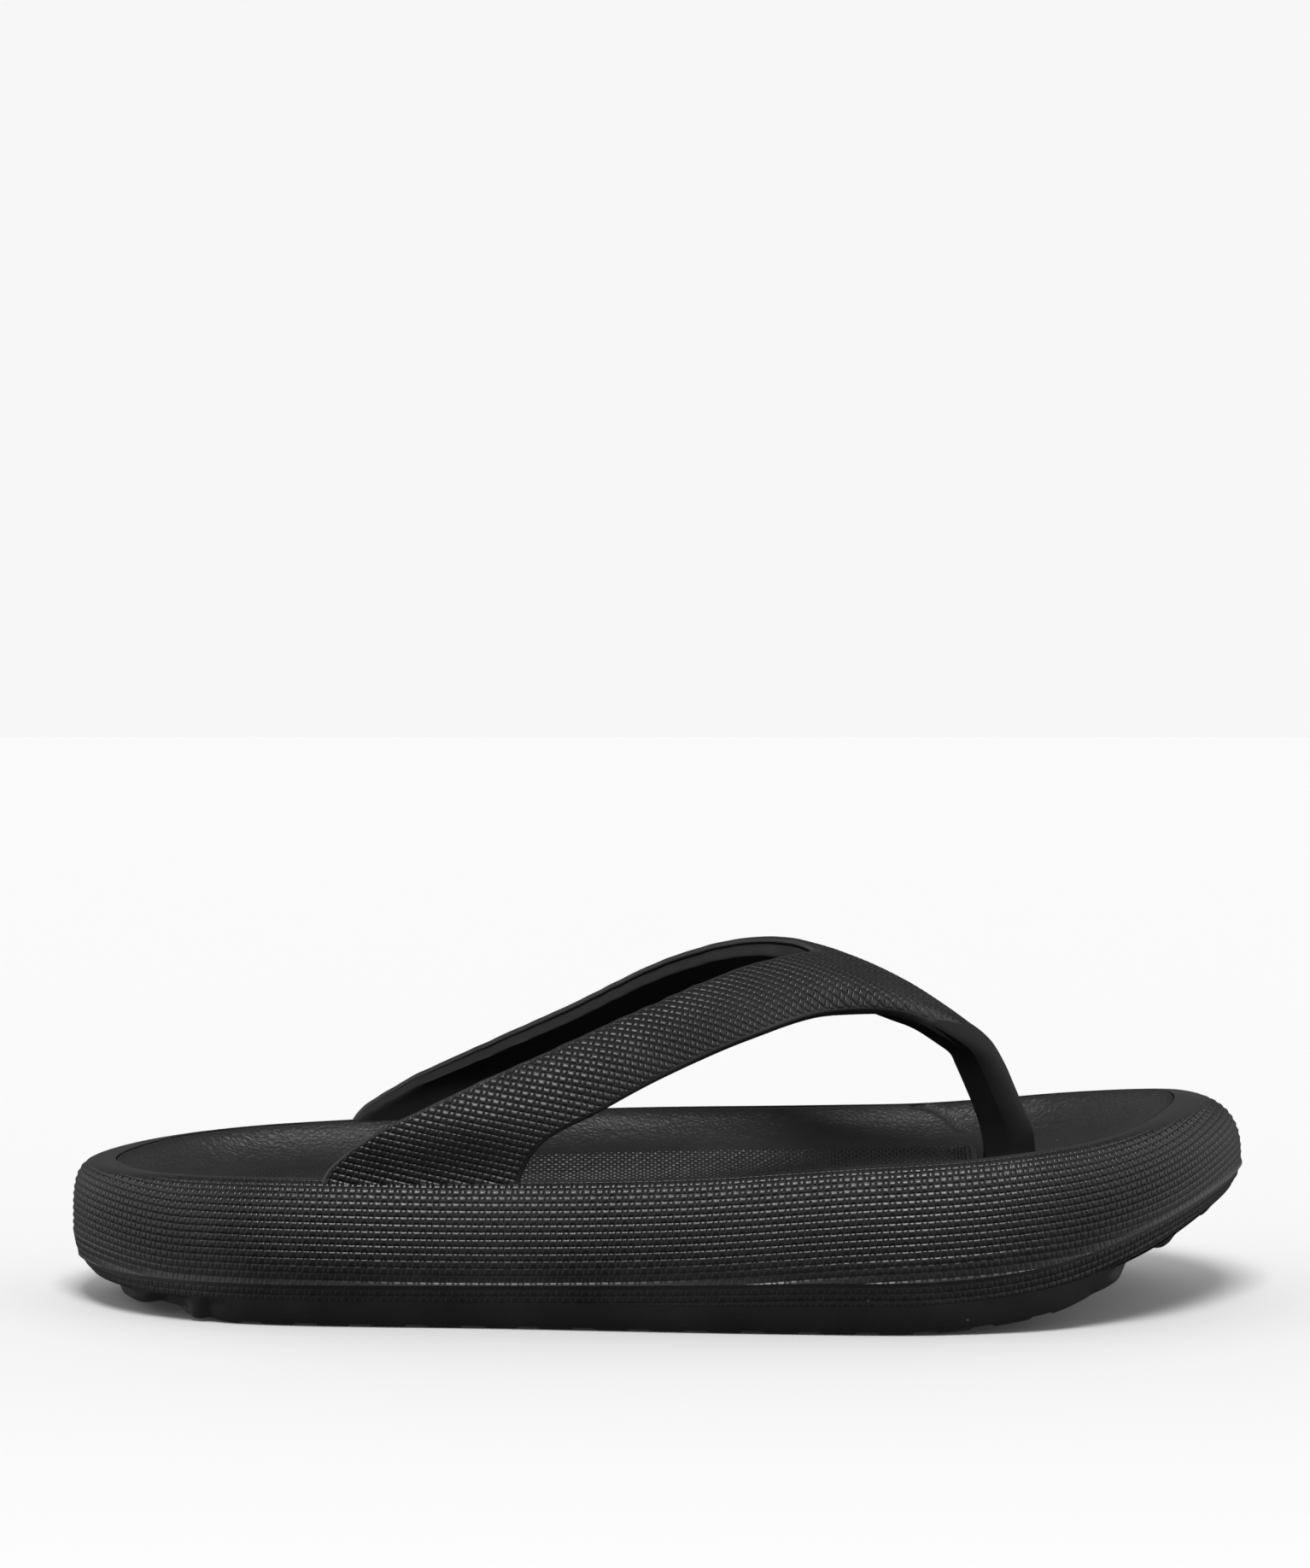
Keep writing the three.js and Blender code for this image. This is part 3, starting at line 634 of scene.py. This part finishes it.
# %% [markdown]
# ## The footbed
# The footbed is a separate dished layer inside the lip. Its slope and its toe end have a pebbled leather
# grain. A shallow seat is sunk into it for the inlay, and a fine crease runs down its inner slope.

# %% Footbed
FOOTBED_EDGE = 0.6
FOOTBED_THICK = 4
GRAIN_HEIGHT = 0.14
INLAY_EDGE = 12.5
INLAY_FRONT = 73.5
INLAY_ROUND = 32
INLAY_THICK = 1.0
INLAY_SEAT = 1.3  # how deep the footbed is sunk under the inlay
SLOPE_ROWS = 19  # rows of the sheet outside that seat
CREASE = [(59, 44.6), (63, 43.4), (66.6, 41.2), (69.6, 37.6)]
CREASE_DEPTH = 0.7


def inlay_ring(ring, distance, sink=0.0):
    """A ring of the dish, drawn in to the inlay's rounded front end."""
    p = dish_ring(ring, distance, sink)
    shoulder = INLAY_FRONT - INLAY_ROUND
    past = np.maximum(0, p[:, 0] - shoulder)
    x = np.minimum(p[:, 0], shoulder) + INLAY_ROUND * np.tanh(past / INLAY_ROUND)
    height = p[:, 2] + rim_at(x, p[:, 1]) - rim_at(p[:, 0], p[:, 1])
    return np.column_stack([x, p[:, 1], height])


def distance_to_line(points, line):
    """Plan distance from each point to a line of straight pieces."""
    nearest = np.full(points.shape[:-1], 1e9)
    for start, end in zip(line, line[1:]):
        start, end = np.array(start, float), np.array(end, float)
        along = end - start
        t = np.clip(((points[..., :2] - start) @ along) / (along @ along), 0, 1)
        off = points[..., :2] - start - t[..., None] * along
        nearest = np.minimum(nearest, np.linalg.norm(off, axis=-1))
    return nearest


bed_ring = stations(1120)
distances = np.concatenate([[FOOTBED_EDGE, 0.9], np.arange(1.5, 12.6, 0.6), np.arange(14, 28, 2.6)])
top = [dish_ring(bed_ring, d, 0.25 * (d == FOOTBED_EDGE)) for d in distances]
top += to_middle(top[-1], np.linspace(0, 1, 7)[1:])
top = np.array(top)
grain = np.abs(mottle(top, 1.9, seed=5, waves=12)) + 0.5 * np.abs(mottle(top, 1.0, seed=6, waves=12))
on_slope = smoothstep(top[..., 2] - rim_at(top[..., 0], top[..., 1]), -8.2, -6)
on_slope = on_slope * mix(0.45, 1, smoothstep(np.abs(top[..., 0] + 20), 60, 95))
grained = np.maximum(on_slope, smoothstep(top[..., 0], 74, 82))
crease = smoothstep(distance_to_line(top, CREASE), 0.9, 0.15)
inlay_outline = inlay_ring(bed_ring, INLAY_EDGE)
well_inside = smoothstep(distance_to_line(top, inlay_outline[::8, :2]), 3, 6)
covered = (np.arange(len(top)) > SLOPE_ROWS)[:, None] & (top[..., 0] < INLAY_FRONT - 1)
top[..., 2] += GRAIN_HEIGHT * grain * mix(0.25, 1, grained) - CREASE_DEPTH * crease
top[..., 2] -= INLAY_SEAT * well_inside * covered
under = [dish_ring(bed_ring, FOOTBED_EDGE, s) for s in (FOOTBED_THICK, 2, 0.7)]
under = [dish_ring(bed_ring, d, FOOTBED_THICK) for d in (27, 16, 8)] + under
rows = to_middle(under[0], (1, 0.5)) + under + list(top)
# The crease mark paints shade into the fold: the footbed's material darkens its tone there.
crease_shade_mark = np.concatenate([np.zeros((len(rows) - len(top), crease.shape[1])), crease])
footbed = wrap_sheet("footbed_foam", rows, {"crease": crease_shade_mark})

# %% [markdown]
# ## The woven inlay
# Under the foot lies a thin inlay with a finer weave. Its rows run along the sole. The weave is taken
# from each point's place in the plan, so the rows stay straight although the sheet follows the dish.

# %% Inlay
INLAY_COLUMN = 0.84
INLAY_ROW = 1.55
INLAY_RELIEF = 0.32
EDGE_ROWS = 6  # rows over which the inlay rises from its edge
EDGE_RISE = 0.3

inlay_stations = stations(1180)
top = [inlay_ring(inlay_stations, d) for d in np.arange(INLAY_EDGE, 27.1, 0.48)]
top += to_middle(top[-1], np.linspace(0, 1, 40)[1:])
top = np.array(top)
places = (top[..., 0] / INLAY_COLUMN, top[..., 1] / INLAY_ROW)
threads = weave(*places)
edge = np.minimum(np.arange(len(top)) / EDGE_ROWS, 1)[:, None]
faint = mix(0.35, 1, smoothstep(top[..., 0], -95, 10))
uneven = 1 + 0.15 * mottle(top, 12, seed=8)
top[..., 2] += EDGE_RISE * edge - EDGE_RISE / 2 + INLAY_RELIEF * threads * edge * faint * uneven
top[0, :, 2] -= 0.25
under = [inlay_ring(inlay_stations, d, INLAY_THICK) for d in (27, 18, INLAY_EDGE)]
rows = to_middle(under[0], (1, 0.5)) + under + list(top)
hidden = np.ones((len(rows) - len(top), threads.shape[1]))
woven = np.concatenate([0 * hidden, edge * faint])
thread_places = [np.concatenate([hidden, place]) for place in places]
inlay = wrap_sheet("woven_inlay", rows, {"woven": woven}, thread_places)

# %% [markdown]
# ## The strap
# The strap is one V-shaped band that runs over the foot from side to side and meets the post on its
# ridge. Its outer skin has the same weave as the side, turned so that the rows run down to the toe. Its
# smooth lining is inside. Both are made from cuts across the band, each rounded at its two edges.

# %% The strap's face
STRAP = [
    ((-76, -41.5, 25), (-31, -44.5, 25), 0.2),
    ((-74.5, -41.3, 33.5), (-30.5, -44.3, 33.5), 0.5),
    ((-65, -40.7, 42.6), (-25.5, -43.5, 42.3), 0.9),
    ((-45, -39.5, 53), (-12, -41.3, 49.8), 1.3),
    ((-20, -35.5, 64), (3, -37, 57.3), 1.6),
    ((3, -26, 73), (21, -27, 63.6), 1.8),
    ((20, -13, 77.8), (39, -12.5, 66.8), 2.1),
    ((31.5, -2.5, 79), (59, -1.5, 64.3), 2.6),
    ((36, 5, 78.8), (78.2, 9.5, 52.4), 3.4),
    ((31.5, 12, 79.9), (60, 20, 64.8), 2.6),
    ((20, 18.5, 79.2), (39, 29, 66), 2.1),
    ((3, 25.5, 73.8), (21, 38, 60.6), 1.8),
    ((-20, 32.5, 61.7), (2, 41.5, 53.5), 1.6),
    ((-42, 36.2, 51), (-14, 42.3, 47), 1.3),
    ((-60, 38, 41.8), (-26, 42.6, 40), 0.9),
    ((-70, 39, 34), (-30.5, 42.2, 33.5), 0.5),
    ((-72, 39.3, 25), (-31, 41.8, 25), 0.2),
]
SPANS = len(STRAP) - 1
RIDGE = 8 / SPANS
RIDGE_HALF = 1.7 / SPANS
ROOT_INSETS = (3.6, 1.6)  # how far in from the sole's edge its two roots stand
rear_knots, front_knots, crowns = zip(*STRAP)
crown_at = profile([(i / SPANS, crown) for i, crown in enumerate(crowns)])


def strap_face(u, s):
    rear = through(rear_knots, u, closed=False)
    front = through(front_knots, u, closed=False)
    return mix(rear, front, s[..., None])


outline_points = stations(2000)[0][:-1]
side_by_x = {}
for side in (-1, 1):
    half = outline_points[outline_points[:, 1] * side > 0]
    side_by_x[side] = half[np.argsort(half[:, 0])]


def root_shift(p):
    """How far in y a point of the band's face moves, so that it goes down into the wall's upper curve."""
    x, y, z = p[..., 0], p[..., 1], p[..., 2]
    out = np.where(y < 0, *(np.interp(x, side_by_x[k][:, 0], side_by_x[k][:, 1] * k) for k in (-1, 1)))
    high = rim_at(x, y)
    target = np.where(y < 0, ROOT_INSETS[0] - out, out - ROOT_INSETS[1])
    return (target - y) * smoothstep(z, high + 18, high - 1)


def on_ridge(u):
    return 1 - smoothstep(np.abs(u - RIDGE), 0, RIDGE_HALF)


# %% Cuts across the strap
NOSE_DROP = (0.4, 1.4)  # how much lower the ridge lies near its end, and at its tip


def strap_point(u, s, depth):
    """A point below the strap's crowned face: u along the band, s across it from the rear edge."""
    step = 0.01
    along = strap_face(np.minimum(u + step, 1), s) - strap_face(np.maximum(u - step, 0), s)
    across = strap_face(u, s + step) - strap_face(u, s - step)
    normal = np.cross(across, along)
    normal /= np.linalg.norm(normal, axis=-1)[..., None]
    inner = np.clip(s, 0, 1)
    even = 4 * inner * (1 - inner)
    nose = (1 - (1 - inner) ** 2) * (0.6 + 0.65 * inner) * np.sqrt(np.maximum(0, 1 - inner**8))
    crown = crown_at(u) * mix(even, nose, on_ridge(u))
    drop = NOSE_DROP[0] * smoothstep(inner, 0.7, 0.9) + NOSE_DROP[1] * smoothstep(inner, 0.86, 1)
    depth = depth + on_ridge(u) * drop
    face = strap_face(u, s)
    point = face + normal * (crown - depth)[..., None]
    point[..., 1] += root_shift(face + normal * crown[..., None])
    return point


def band_steps(count):
    """Places along the band at even steps of its real length."""
    u = np.linspace(0, 1, 2000)
    line = strap_face(u, np.full_like(u, 0.5))
    walked = np.concatenate([[0], np.cumsum(np.linalg.norm(np.diff(line, axis=0), axis=1))])
    return np.interp(np.linspace(0, walked[-1], count + 1), walked, u)


def strap_layer(count, outer_steps, inner_steps, depths, reach, wobble, edge_reach, set_back=0.0):
    """Cuts round a layer of the strap, with each point's place along, across, and if it is outside."""
    top, bottom = depths
    u = band_steps(count)
    end = mix(reach[0], reach[1], on_ridge(u))
    width = np.linalg.norm(strap_face(u, np.ones_like(u)) - strap_face(u, np.zeros_like(u)), axis=1)
    radius = edge_reach / width
    turn = np.linspace(0, math.pi, 7)[1:-1]
    ragged = wobble * mottle(strap_face(u, np.zeros_like(u)), 4, seed=21) / width
    start = radius + set_back / width + ragged
    middle, half = (top + bottom) / 2, (bottom - top) / 2
    cuts = [(mix(start, end - radius, k), top, 1.0) for k in np.linspace(0, 1, outer_steps + 1)]
    cuts += [(end - radius + radius * math.sin(a), middle - half * math.cos(a), 0.0) for a in turn]
    cuts += [(mix(start, end - radius, k), bottom, 0.0) for k in np.linspace(1, 0, inner_steps + 1)]
    cuts += [(start - radius * math.sin(a), middle - half * math.cos(a), 0.0) for a in turn[::-1]]
    across, depth, outside = (np.array(values) for values in zip(*cuts, cuts[0]))
    along = np.broadcast_to(u[:, None], across.T.shape)
    return strap_point(along, across.T, depth), along, across.T, outside


def close_ends(rows):
    """Draws both end cuts in to a point, which closes the layer."""
    rows = np.asarray(rows)
    first = np.broadcast_to(rows[0].mean(0), rows[0].shape)
    last = np.broadcast_to(rows[-1].mean(0), rows[-1].shape)
    return np.concatenate([first[None], rows, last[None]])


print("strap", SPANS, "spans, ridge at", RIDGE)

# %% Strap skin
OUTER_STEPS = 112
SKIN_DEPTHS = (0.0, 1.9)
THREAD_TILT = math.radians(12)
ROUND_CENTRE = (2.0, 34.0)  # the axis, in y and height, round which the threads are counted
ROUND_RADIUS = 42
STRAP_PITCH = 1.5
STRAP_RELIEF = 0.24

skin, along, across, outside = strap_layer(
    660, OUTER_STEPS, 10, SKIN_DEPTHS, (1, 1), 0.12, edge_reach=0.9)
tilt_cos, tilt_sin = math.cos(THREAD_TILT), math.sin(THREAD_TILT)
lengthwise = skin[..., 0] * tilt_cos - skin[..., 2] * tilt_sin
raised = skin[..., 0] * tilt_sin + skin[..., 2] * tilt_cos
turned = np.arctan2(skin[..., 1] - ROUND_CENTRE[0], raised - ROUND_CENTRE[1]) * ROUND_RADIUS
places = (lengthwise / STRAP_PITCH, turned / STRAP_PITCH)
threads = weave(*places)
width = np.linalg.norm(skin[:, OUTER_STEPS] - skin[:, 0], axis=1)[:, None]
from_edge = np.minimum(across, 1 - across) * width
cover = smoothstep(from_edge, 0.7, 1.6) * outside
nose_fade = 1 - on_ridge(along) * smoothstep(across, 0.78, 0.9)
cover = cover * nose_fade
skin = press(skin, STRAP_RELIEF * threads * cover * (1 + 0.15 * mottle(skin, 10, seed=13)))


def with_ends(values):
    """Values for a layer's cuts and for the two points that close it."""
    return np.concatenate([values[:1], values, values[-1:]])


thread_places = [with_ends(place) for place in places]
strap_skin = wrap_sheet("strap_skin", close_ends(skin), {"woven": with_ends(cover)}, thread_places)

# %% Strap lining
LINING_DEPTHS = (2.05, 5.35)
lining = strap_layer(
    420, 26, 14, LINING_DEPTHS, (0.9, 0.64), 0.2, edge_reach=0.4, set_back=0.25)[0]
strap_lining = wrap_sheet("strap_lining_foam", close_ends(lining))

# %% [markdown]
# ## The toe post
# Between the toes the strap's lining turns down into a post. Its cut is a rounded kite: a flat dark rear
# half, a crisp edge down each side, and a rounded front half that catches the light. It widens a little
# where it meets the footbed, and below that a flat plug holds it in the sole.

# %% Toe post
POST = [  # front x and height, rear x and height, half of the width
    (43, 72, 40, 68, 3.0), (50, 70.8, 46.5, 65, 5.4), (56, 68.6, 52.5, 62.5, 6.4),
    (63, 65.3, 58, 60.2, 6.6), (70.4, 61.3, 63.3, 56.6, 6.6), (75.6, 57.0, 66.3, 54.2, 6.1),
    (78.8, 51.8, 67.6, 51.6, 5.3), (81, 46.8, 70.2, 45.6, 4.8), (83, 42, 71.8, 41.6, 4.6),
    (85.3, 36.5, 73.3, 37, 4.4), (86, 31.6, 74.2, 31.6, 4.5), (86.8, 29.4, 74, 29.4, 5.0),
    (86.4, 27.4, 74.4, 27.4, 4.6), (84.6, 24, 75.6, 24, 4.2), (84.6, 19.8, 75.6, 19.8, 4.2),
    (88, 19.5, 72, 19.5, 7.5), (88, 17.6, 72, 17.6, 7.5),
]
POST_Y = profile([(48, 4), (62, 6.8), (76, 9.5), (90, 9.5)])
POST_ROUND = 56
POST_ROWS = 110
CRISP = 0.5  # where the crisp edge lies, from rear to front

share = np.linspace(0, 1, POST_ROWS)
knot_share = np.linspace(0, 1, len(POST))
front_x, front_z, rear_x, rear_z, half_width = (
    profile(list(zip(knot_share, knots)))(share) for knots in zip(*POST))
half_turn = np.linspace(0, 1, POST_ROUND // 2 + 1)
place = 0.5 - 0.5 * np.cos(half_turn * math.pi)
rear_half = (0.35 + 0.65 * place / CRISP) * np.minimum(1, (place / 0.05)) ** 0.5
front_half = np.sqrt(np.maximum(0, 1 - ((place - CRISP) / (1 - CRISP)) ** 2)) ** 1.15
side = np.where(place < CRISP, rear_half, front_half)
place = np.concatenate([place, place[-2::-1]])
side = np.concatenate([side, -side[-2::-1]])
x = mix(rear_x[:, None], front_x[:, None], place)
z = mix(rear_z[:, None], front_z[:, None], place)
y = POST_Y(x) + half_width[:, None] * side
toe_post = wrap_sheet("toe_post_foam", close_ends(np.stack([x, y, z], axis=-1)), smooth_below=32)

# %% [markdown]
# ## Finishes
# Moulded foam is black but never flat: it has fine pores, slightly cloudy colour, a satin skin where the
# mould was polished (its lighter tone on the lip is painted sheen), and a few specks of dust. Each of
# these effects but the satin is one node group, used by several materials with their own values. They
# read the object's own coordinates, so they need no unwrapping.

# %% Pores and clouds of closed-cell foam
def new_group(name, inputs, outputs):
    tree = bpy.data.node_groups.new(name, "ShaderNodeTree")
    for socket, kind, value in inputs:
        made = tree.interface.new_socket(socket, in_out="INPUT", socket_type=kind)
        if value is not None:
            made.default_value = value
    for socket, kind in outputs:
        tree.interface.new_socket(socket, in_out="OUTPUT", socket_type=kind)
    start = tree.nodes.new("NodeGroupInput")
    end = tree.nodes.new("NodeGroupOutput")
    return tree, start.outputs, end.inputs


def noise(tree, position, scale, detail=2.0, roughness=0.5):
    node = add_node(tree, "ShaderNodeTexNoise", in_Detail=detail, in_Roughness=roughness)
    node.inputs["Scale"].default_value = scale
    tree.links.new(position, node.inputs["Vector"])
    return node.outputs["Fac"]


pores, given, result = new_group(
    "foam_pores",
    [("Position", "NodeSocketVector", None)],
    [("Height", "NodeSocketFloat"), ("Cloud", "NodeSocketFloat")],
)
fine = noise(pores, given["Position"], 2600, 3.0, 0.65)
coarse = noise(pores, given["Position"], 700, 2.0)
pores.links.new(add_math(pores, "ADD", fine, add_math(pores, "MULTIPLY", coarse, 0.7)), result["Height"])
pores.links.new(noise(pores, given["Position"], 38, 4.0, 0.6), result["Cloud"])

# %% [markdown]
# ## The weave's fine detail
# The relief in the sheets has three steps to a thread, which is too few for a crisp edge. This group
# draws the same weave again at any fineness. It reads the thread counts that each sheet keeps in its UV
# map, so both lie on each other. It gives the height for a bump, and a mask of painted shade that
# darkens the grooves.

# %% Woven cells
cells_of_weave, given, result = new_group(
    "woven_cells_and_groove_shade",
    [("Threads", "NodeSocketVector", None)],
    [("Height", "NodeSocketFloat"), ("GrooveShade", "NodeSocketFloat")],
)
tree = cells_of_weave


def pillow_of(off, reach, fullness):
    """1 in the middle of a thread's float, falling to 0 at its reach."""
    share = add_math(tree, "DIVIDE", off, reach)
    rest = add_math(tree, "SUBTRACT", 1.0, add_math(tree, "POWER", share, fullness))
    return add_math(tree, "MAXIMUM", rest, 0.0)


place = add_node(tree, "ShaderNodeSeparateXYZ")
tree.links.new(given["Threads"], place.inputs[0])
row = add_math(tree, "FLOOR", place.outputs["Y"], 0)
turn = add_math(tree, "ADD", add_math(tree, "ADD", place.outputs["X"], row), 0.5)
turn = add_math(tree, "FLOORED_MODULO", turn, 2)
from_long = add_math(tree, "ABSOLUTE", add_math(tree, "SUBTRACT", turn, 1), 0)
from_row = add_math(tree, "SUBTRACT", add_math(tree, "SUBTRACT", place.outputs["Y"], row), 0.5)
across_row = pillow_of(add_math(tree, "ABSOLUTE", from_row, 0), 0.5, 2)
over = pillow_of(from_long, 0.62, 4)
short = pillow_of(add_math(tree, "SUBTRACT", 1.0, from_long), 0.38, 3)
tallest = add_math(tree, "MAXIMUM", over, add_math(tree, "MULTIPLY", short, 0.65))
tree.links.new(add_math(tree, "MULTIPLY", tallest, across_row), result["Height"])
# Painted shade: this mask darkens the grooves between the cells and between the rows.
columns_unshaded = add_ramp(tree, tallest, 0.05, 0.5, 0.35, 1)
rows_unshaded = add_ramp(tree, across_row, 0, 0.2, 0.4, 1)
tree.links.new(add_math(tree, "MULTIPLY", columns_unshaded, rows_unshaded), result["GrooveShade"])

# %% [markdown]
# ## Leather grain and wear
# The footbed's slope copies leather: small pebbles with creases between them. A Voronoi pattern's
# distance to its cells' edges gives both, once noise has bent its straight lines. Dust is a few pale
# specks at the middles of finer cells, and rub is a cloudy mask where the foam has been handled.

# %% Leather pebbles
pebbles, given, result = new_group(
    "leather_pebbles",
    [("Position", "NodeSocketVector", None)],
    [("Height", "NodeSocketFloat"), ("Crease", "NodeSocketFloat")],
)
bend = add_node(pebbles, "ShaderNodeTexNoise", in_Scale=420.0, in_Detail=2.0)
pebbles.links.new(given["Position"], bend.inputs["Vector"])
shift = add_node(pebbles, "ShaderNodeVectorMath", operation="MULTIPLY_ADD")
pebbles.links.new(bend.outputs["Color"], shift.inputs[0])
shift.inputs[1].default_value = (0.0011, 0.0011, 0.0011)
pebbles.links.new(given["Position"], shift.inputs[2])
cells = add_node(pebbles, "ShaderNodeTexVoronoi", feature="DISTANCE_TO_EDGE", in_Scale=780.0)
pebbles.links.new(shift.outputs[0], cells.inputs["Vector"])
crest = add_ramp(pebbles, cells.outputs["Distance"], 0.0, 0.32, 0.0, 1.0)
pebbles.links.new(crest, result["Height"])
pebbles.links.new(add_ramp(pebbles, cells.outputs["Distance"], 0.0, 0.12, 1.0, 0.0), result["Crease"])

# %% Dust and rub
wear, given, result = new_group(
    "dust_and_rub",
    [("Position", "NodeSocketVector", None)],
    [("Dust", "NodeSocketFloat"), ("Rub", "NodeSocketFloat")],
)
spots = add_node(wear, "ShaderNodeTexVoronoi", in_Scale=260.0)
wear.links.new(given["Position"], spots.inputs["Vector"])
near = add_ramp(wear, spots.outputs["Distance"], 0.05, 0.09, 1.0, 0.0)
few = add_math(wear, "GREATER_THAN", noise(wear, spots.outputs["Position"], 900), 0.66)
wear.links.new(add_math(wear, "MULTIPLY", near, few), result["Dust"])
handled = noise(wear, given["Position"], 90, 5.0, 0.7)
wear.links.new(add_ramp(wear, handled, 0.45, 0.75, 0.0, 1.0), result["Rub"])
print("node groups", [group.name for group in bpy.data.node_groups])


# %% The foam's material
DUST_SHARE = 0.25
DUST_GREY = 0.3
ROUGH_RANGE = 0.07  # from the satin to the matt parts of one foam
GROOVE_SHADE_SPECULAR = 0.04  # gloss left in the grooves of a weave, lowered there as painted shade


def grey(value):
    return (value, value, value * 1.02, 1)


def foam_material(name, dark, light, matt, grain, strength, depth, marks=(), specular=0.4, woven=0.0):
    """Black foam: dark..light by cloud and rub, satin..matt by the same, with a grain group's relief."""
    material = bpy.data.materials.new(name)
    material.use_nodes = True
    tree = material.node_tree
    shader = tree.nodes["Principled BSDF"]
    shader.inputs["Specular IOR Level"].default_value = specular
    where = add_node(tree, "ShaderNodeTexCoord")
    position = where.outputs["Object"]

    def placed(group):
        node = add_node(tree, "ShaderNodeGroup", node_tree=group)
        tree.links.new(position, node.inputs["Position"])
        return node.outputs

    foam, dust, relief = placed(pores), placed(wear), placed(grain)
    cloud = add_ramp(tree, foam["Cloud"], 0.3, 0.7, 0.0, 1.0)
    cloudy = add_math(tree, "MULTIPLY", cloud, 0.7)
    tone = add_math(tree, "ADD", cloudy, add_math(tree, "MULTIPLY", dust["Rub"], 0.3))
    rough = add_ramp(tree, tone, 0.0, 1.0, matt, matt + ROUGH_RANGE)
    for mark, gap_tone, gap_rough in marks:
        value = add_node(tree, "ShaderNodeAttribute", attribute_name=mark).outputs["Fac"]
        tone = add_math(tree, "MULTIPLY", tone, add_ramp(tree, value, 0.0, 1.0, *gap_tone))
        rough = add_math(tree, "ADD", rough, add_ramp(tree, value, 0.0, 1.0, *gap_rough))
    bump = add_node(tree, "ShaderNodeBump", in_Strength=strength, in_Distance=depth)
    if woven:
        weave_node = add_node(tree, "ShaderNodeGroup", node_tree=cells_of_weave)
        tree.links.new(where.outputs["UV"], weave_node.inputs["Threads"])
        covered = add_node(tree, "ShaderNodeAttribute", attribute_name="woven").outputs["Fac"]
        height = add_math(tree, "MULTIPLY", weave_node.outputs["Height"], covered)
        bare = add_math(tree, "SUBTRACT", 1.0, covered)
        # Painted shade: the mask darkens the tone and lowers the gloss in the weave's grooves.
        groove_shade = add_math(tree, "MAXIMUM", weave_node.outputs["GrooveShade"], bare)
        tone = add_math(tree, "MULTIPLY", tone, groove_shade)
        groove_shaded_gloss = add_ramp(tree, groove_shade, 0.0, 1.0, GROOVE_SHADE_SPECULAR, specular)
        tree.links.new(groove_shaded_gloss, shader.inputs["Specular IOR Level"])
        pillows = add_node(tree, "ShaderNodeBump", in_Strength=1.0, in_Distance=woven)
        tree.links.new(height, pillows.inputs["Height"])
        tree.links.new(pillows.outputs["Normal"], bump.inputs["Normal"])
    colour = add_node(tree, "ShaderNodeMix", data_type="RGBA")
    colour.inputs["A"].default_value = grey(dark)
    colour.inputs["B"].default_value = grey(light)
    tree.links.new(tone, colour.inputs["Factor"])
    dusty = add_node(tree, "ShaderNodeMix", data_type="RGBA")
    tree.links.new(add_math(tree, "MULTIPLY", dust["Dust"], DUST_SHARE), dusty.inputs["Factor"])
    tree.links.new(colour.outputs["Result"], dusty.inputs["A"])
    dusty.inputs["B"].default_value = grey(DUST_GREY)
    tree.links.new(dusty.outputs["Result"], shader.inputs["Base Color"])
    tree.links.new(rough, shader.inputs["Roughness"])
    tree.links.new(relief["Height"], bump.inputs["Height"])
    tree.links.new(bump.outputs["Normal"], shader.inputs["Normal"])
    return material


# %% [markdown]
# ## The materials
# All the foams are one black, and differ in how satin they are and in the relief they carry. The woven
# skins are the glossiest, the strap's lining and the post the dullest. A mark on a sheet changes tone
# and roughness where it is set: a little on the polished lip, whose lighter tone is painted sheen, and
# much in the footbed's crease, whose darker tone is painted shade. Painted shade also darkens the
# weave's grooves.

# %% Materials
# Painted sheen: the lip mark lifts the tone on the polished lip; its slightly lower roughness is a real
# satin.
LIP_SATIN_AND_PAINTED_SHEEN = ("lip", (1.0, 1.3), (0.0, -0.02))
woven_foam = foam_material(
    "woven_foam", 0.004, 0.012, 0.32, pores, 0.2, 0.00008, (LIP_SATIN_AND_PAINTED_SHEEN,), specular=0.55, woven=0.0005)
strap_foam = foam_material(
    "woven_strap_foam", 0.004, 0.012, 0.36, pores, 0.2, 0.00008, specular=0.5, woven=0.0006)
footbed_skin = foam_material(
    # Painted shade: the crease mark darkens the footbed's tone in the fold and makes it rougher.
    "pebbled_foam", 0.004, 0.012, 0.46, pebbles, 0.5, 0.00015, (("crease", (1.0, 0.1), (0.0, 0.2)),))
inlay_weave = foam_material(
    "fine_woven_foam", 0.004, 0.014, 0.42, pores, 0.2, 0.00008, woven=0.0005)
tread_rubber = foam_material("tread_rubber", 0.005, 0.012, 0.46, pores, 0.12, 0.00008)
smooth_foam = foam_material("smooth_foam", 0.003, 0.007, 0.6, pores, 0.2, 0.00008, specular=0.25)
nylon = foam_material("moulded_nylon", 0.05, 0.08, 0.38, pores, 0.15, 0.00006)
print("materials", [m.name for m in bpy.data.materials])

# %% [markdown]
# ## Putting it together
# Each finished sheet takes its material, rides on the shoe's one body and stands for its plain layer.
# The two slotted plates and the washer keep their solid shape, and only get their nylon.

# %% Dress and place the pieces
DRESSED = [
    (upper_midsole, "upper_midsole", "midsole_foam", woven_foam),
    (lower_midsole, "lower_midsole", "midsole_foam", woven_foam),
    (outsole, "outsole", "outsole_foam", tread_rubber),
    (footbed, "footbed", "footbed_foam", footbed_skin),
    (inlay, "footbed_inlay", "inlay_foam", inlay_weave),
    (strap_skin, "strap_outer", "strap_skin", strap_foam),
    (strap_lining, "strap_lining", "strap_lining", smooth_foam),
    (toe_post, "toe_post", "strap_lining", smooth_foam),
]
for piece, node, slot, material in DRESSED:
    piece.data.materials.append(material)
    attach(piece, "root")
    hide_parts(node)
for node in ("toe_post_washer", "lateral_anchor", "medial_anchor"):
    for material_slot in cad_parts[node].material_slots:
        material_slot.material = nylon
print(len(DRESSED), "pieces dressed")
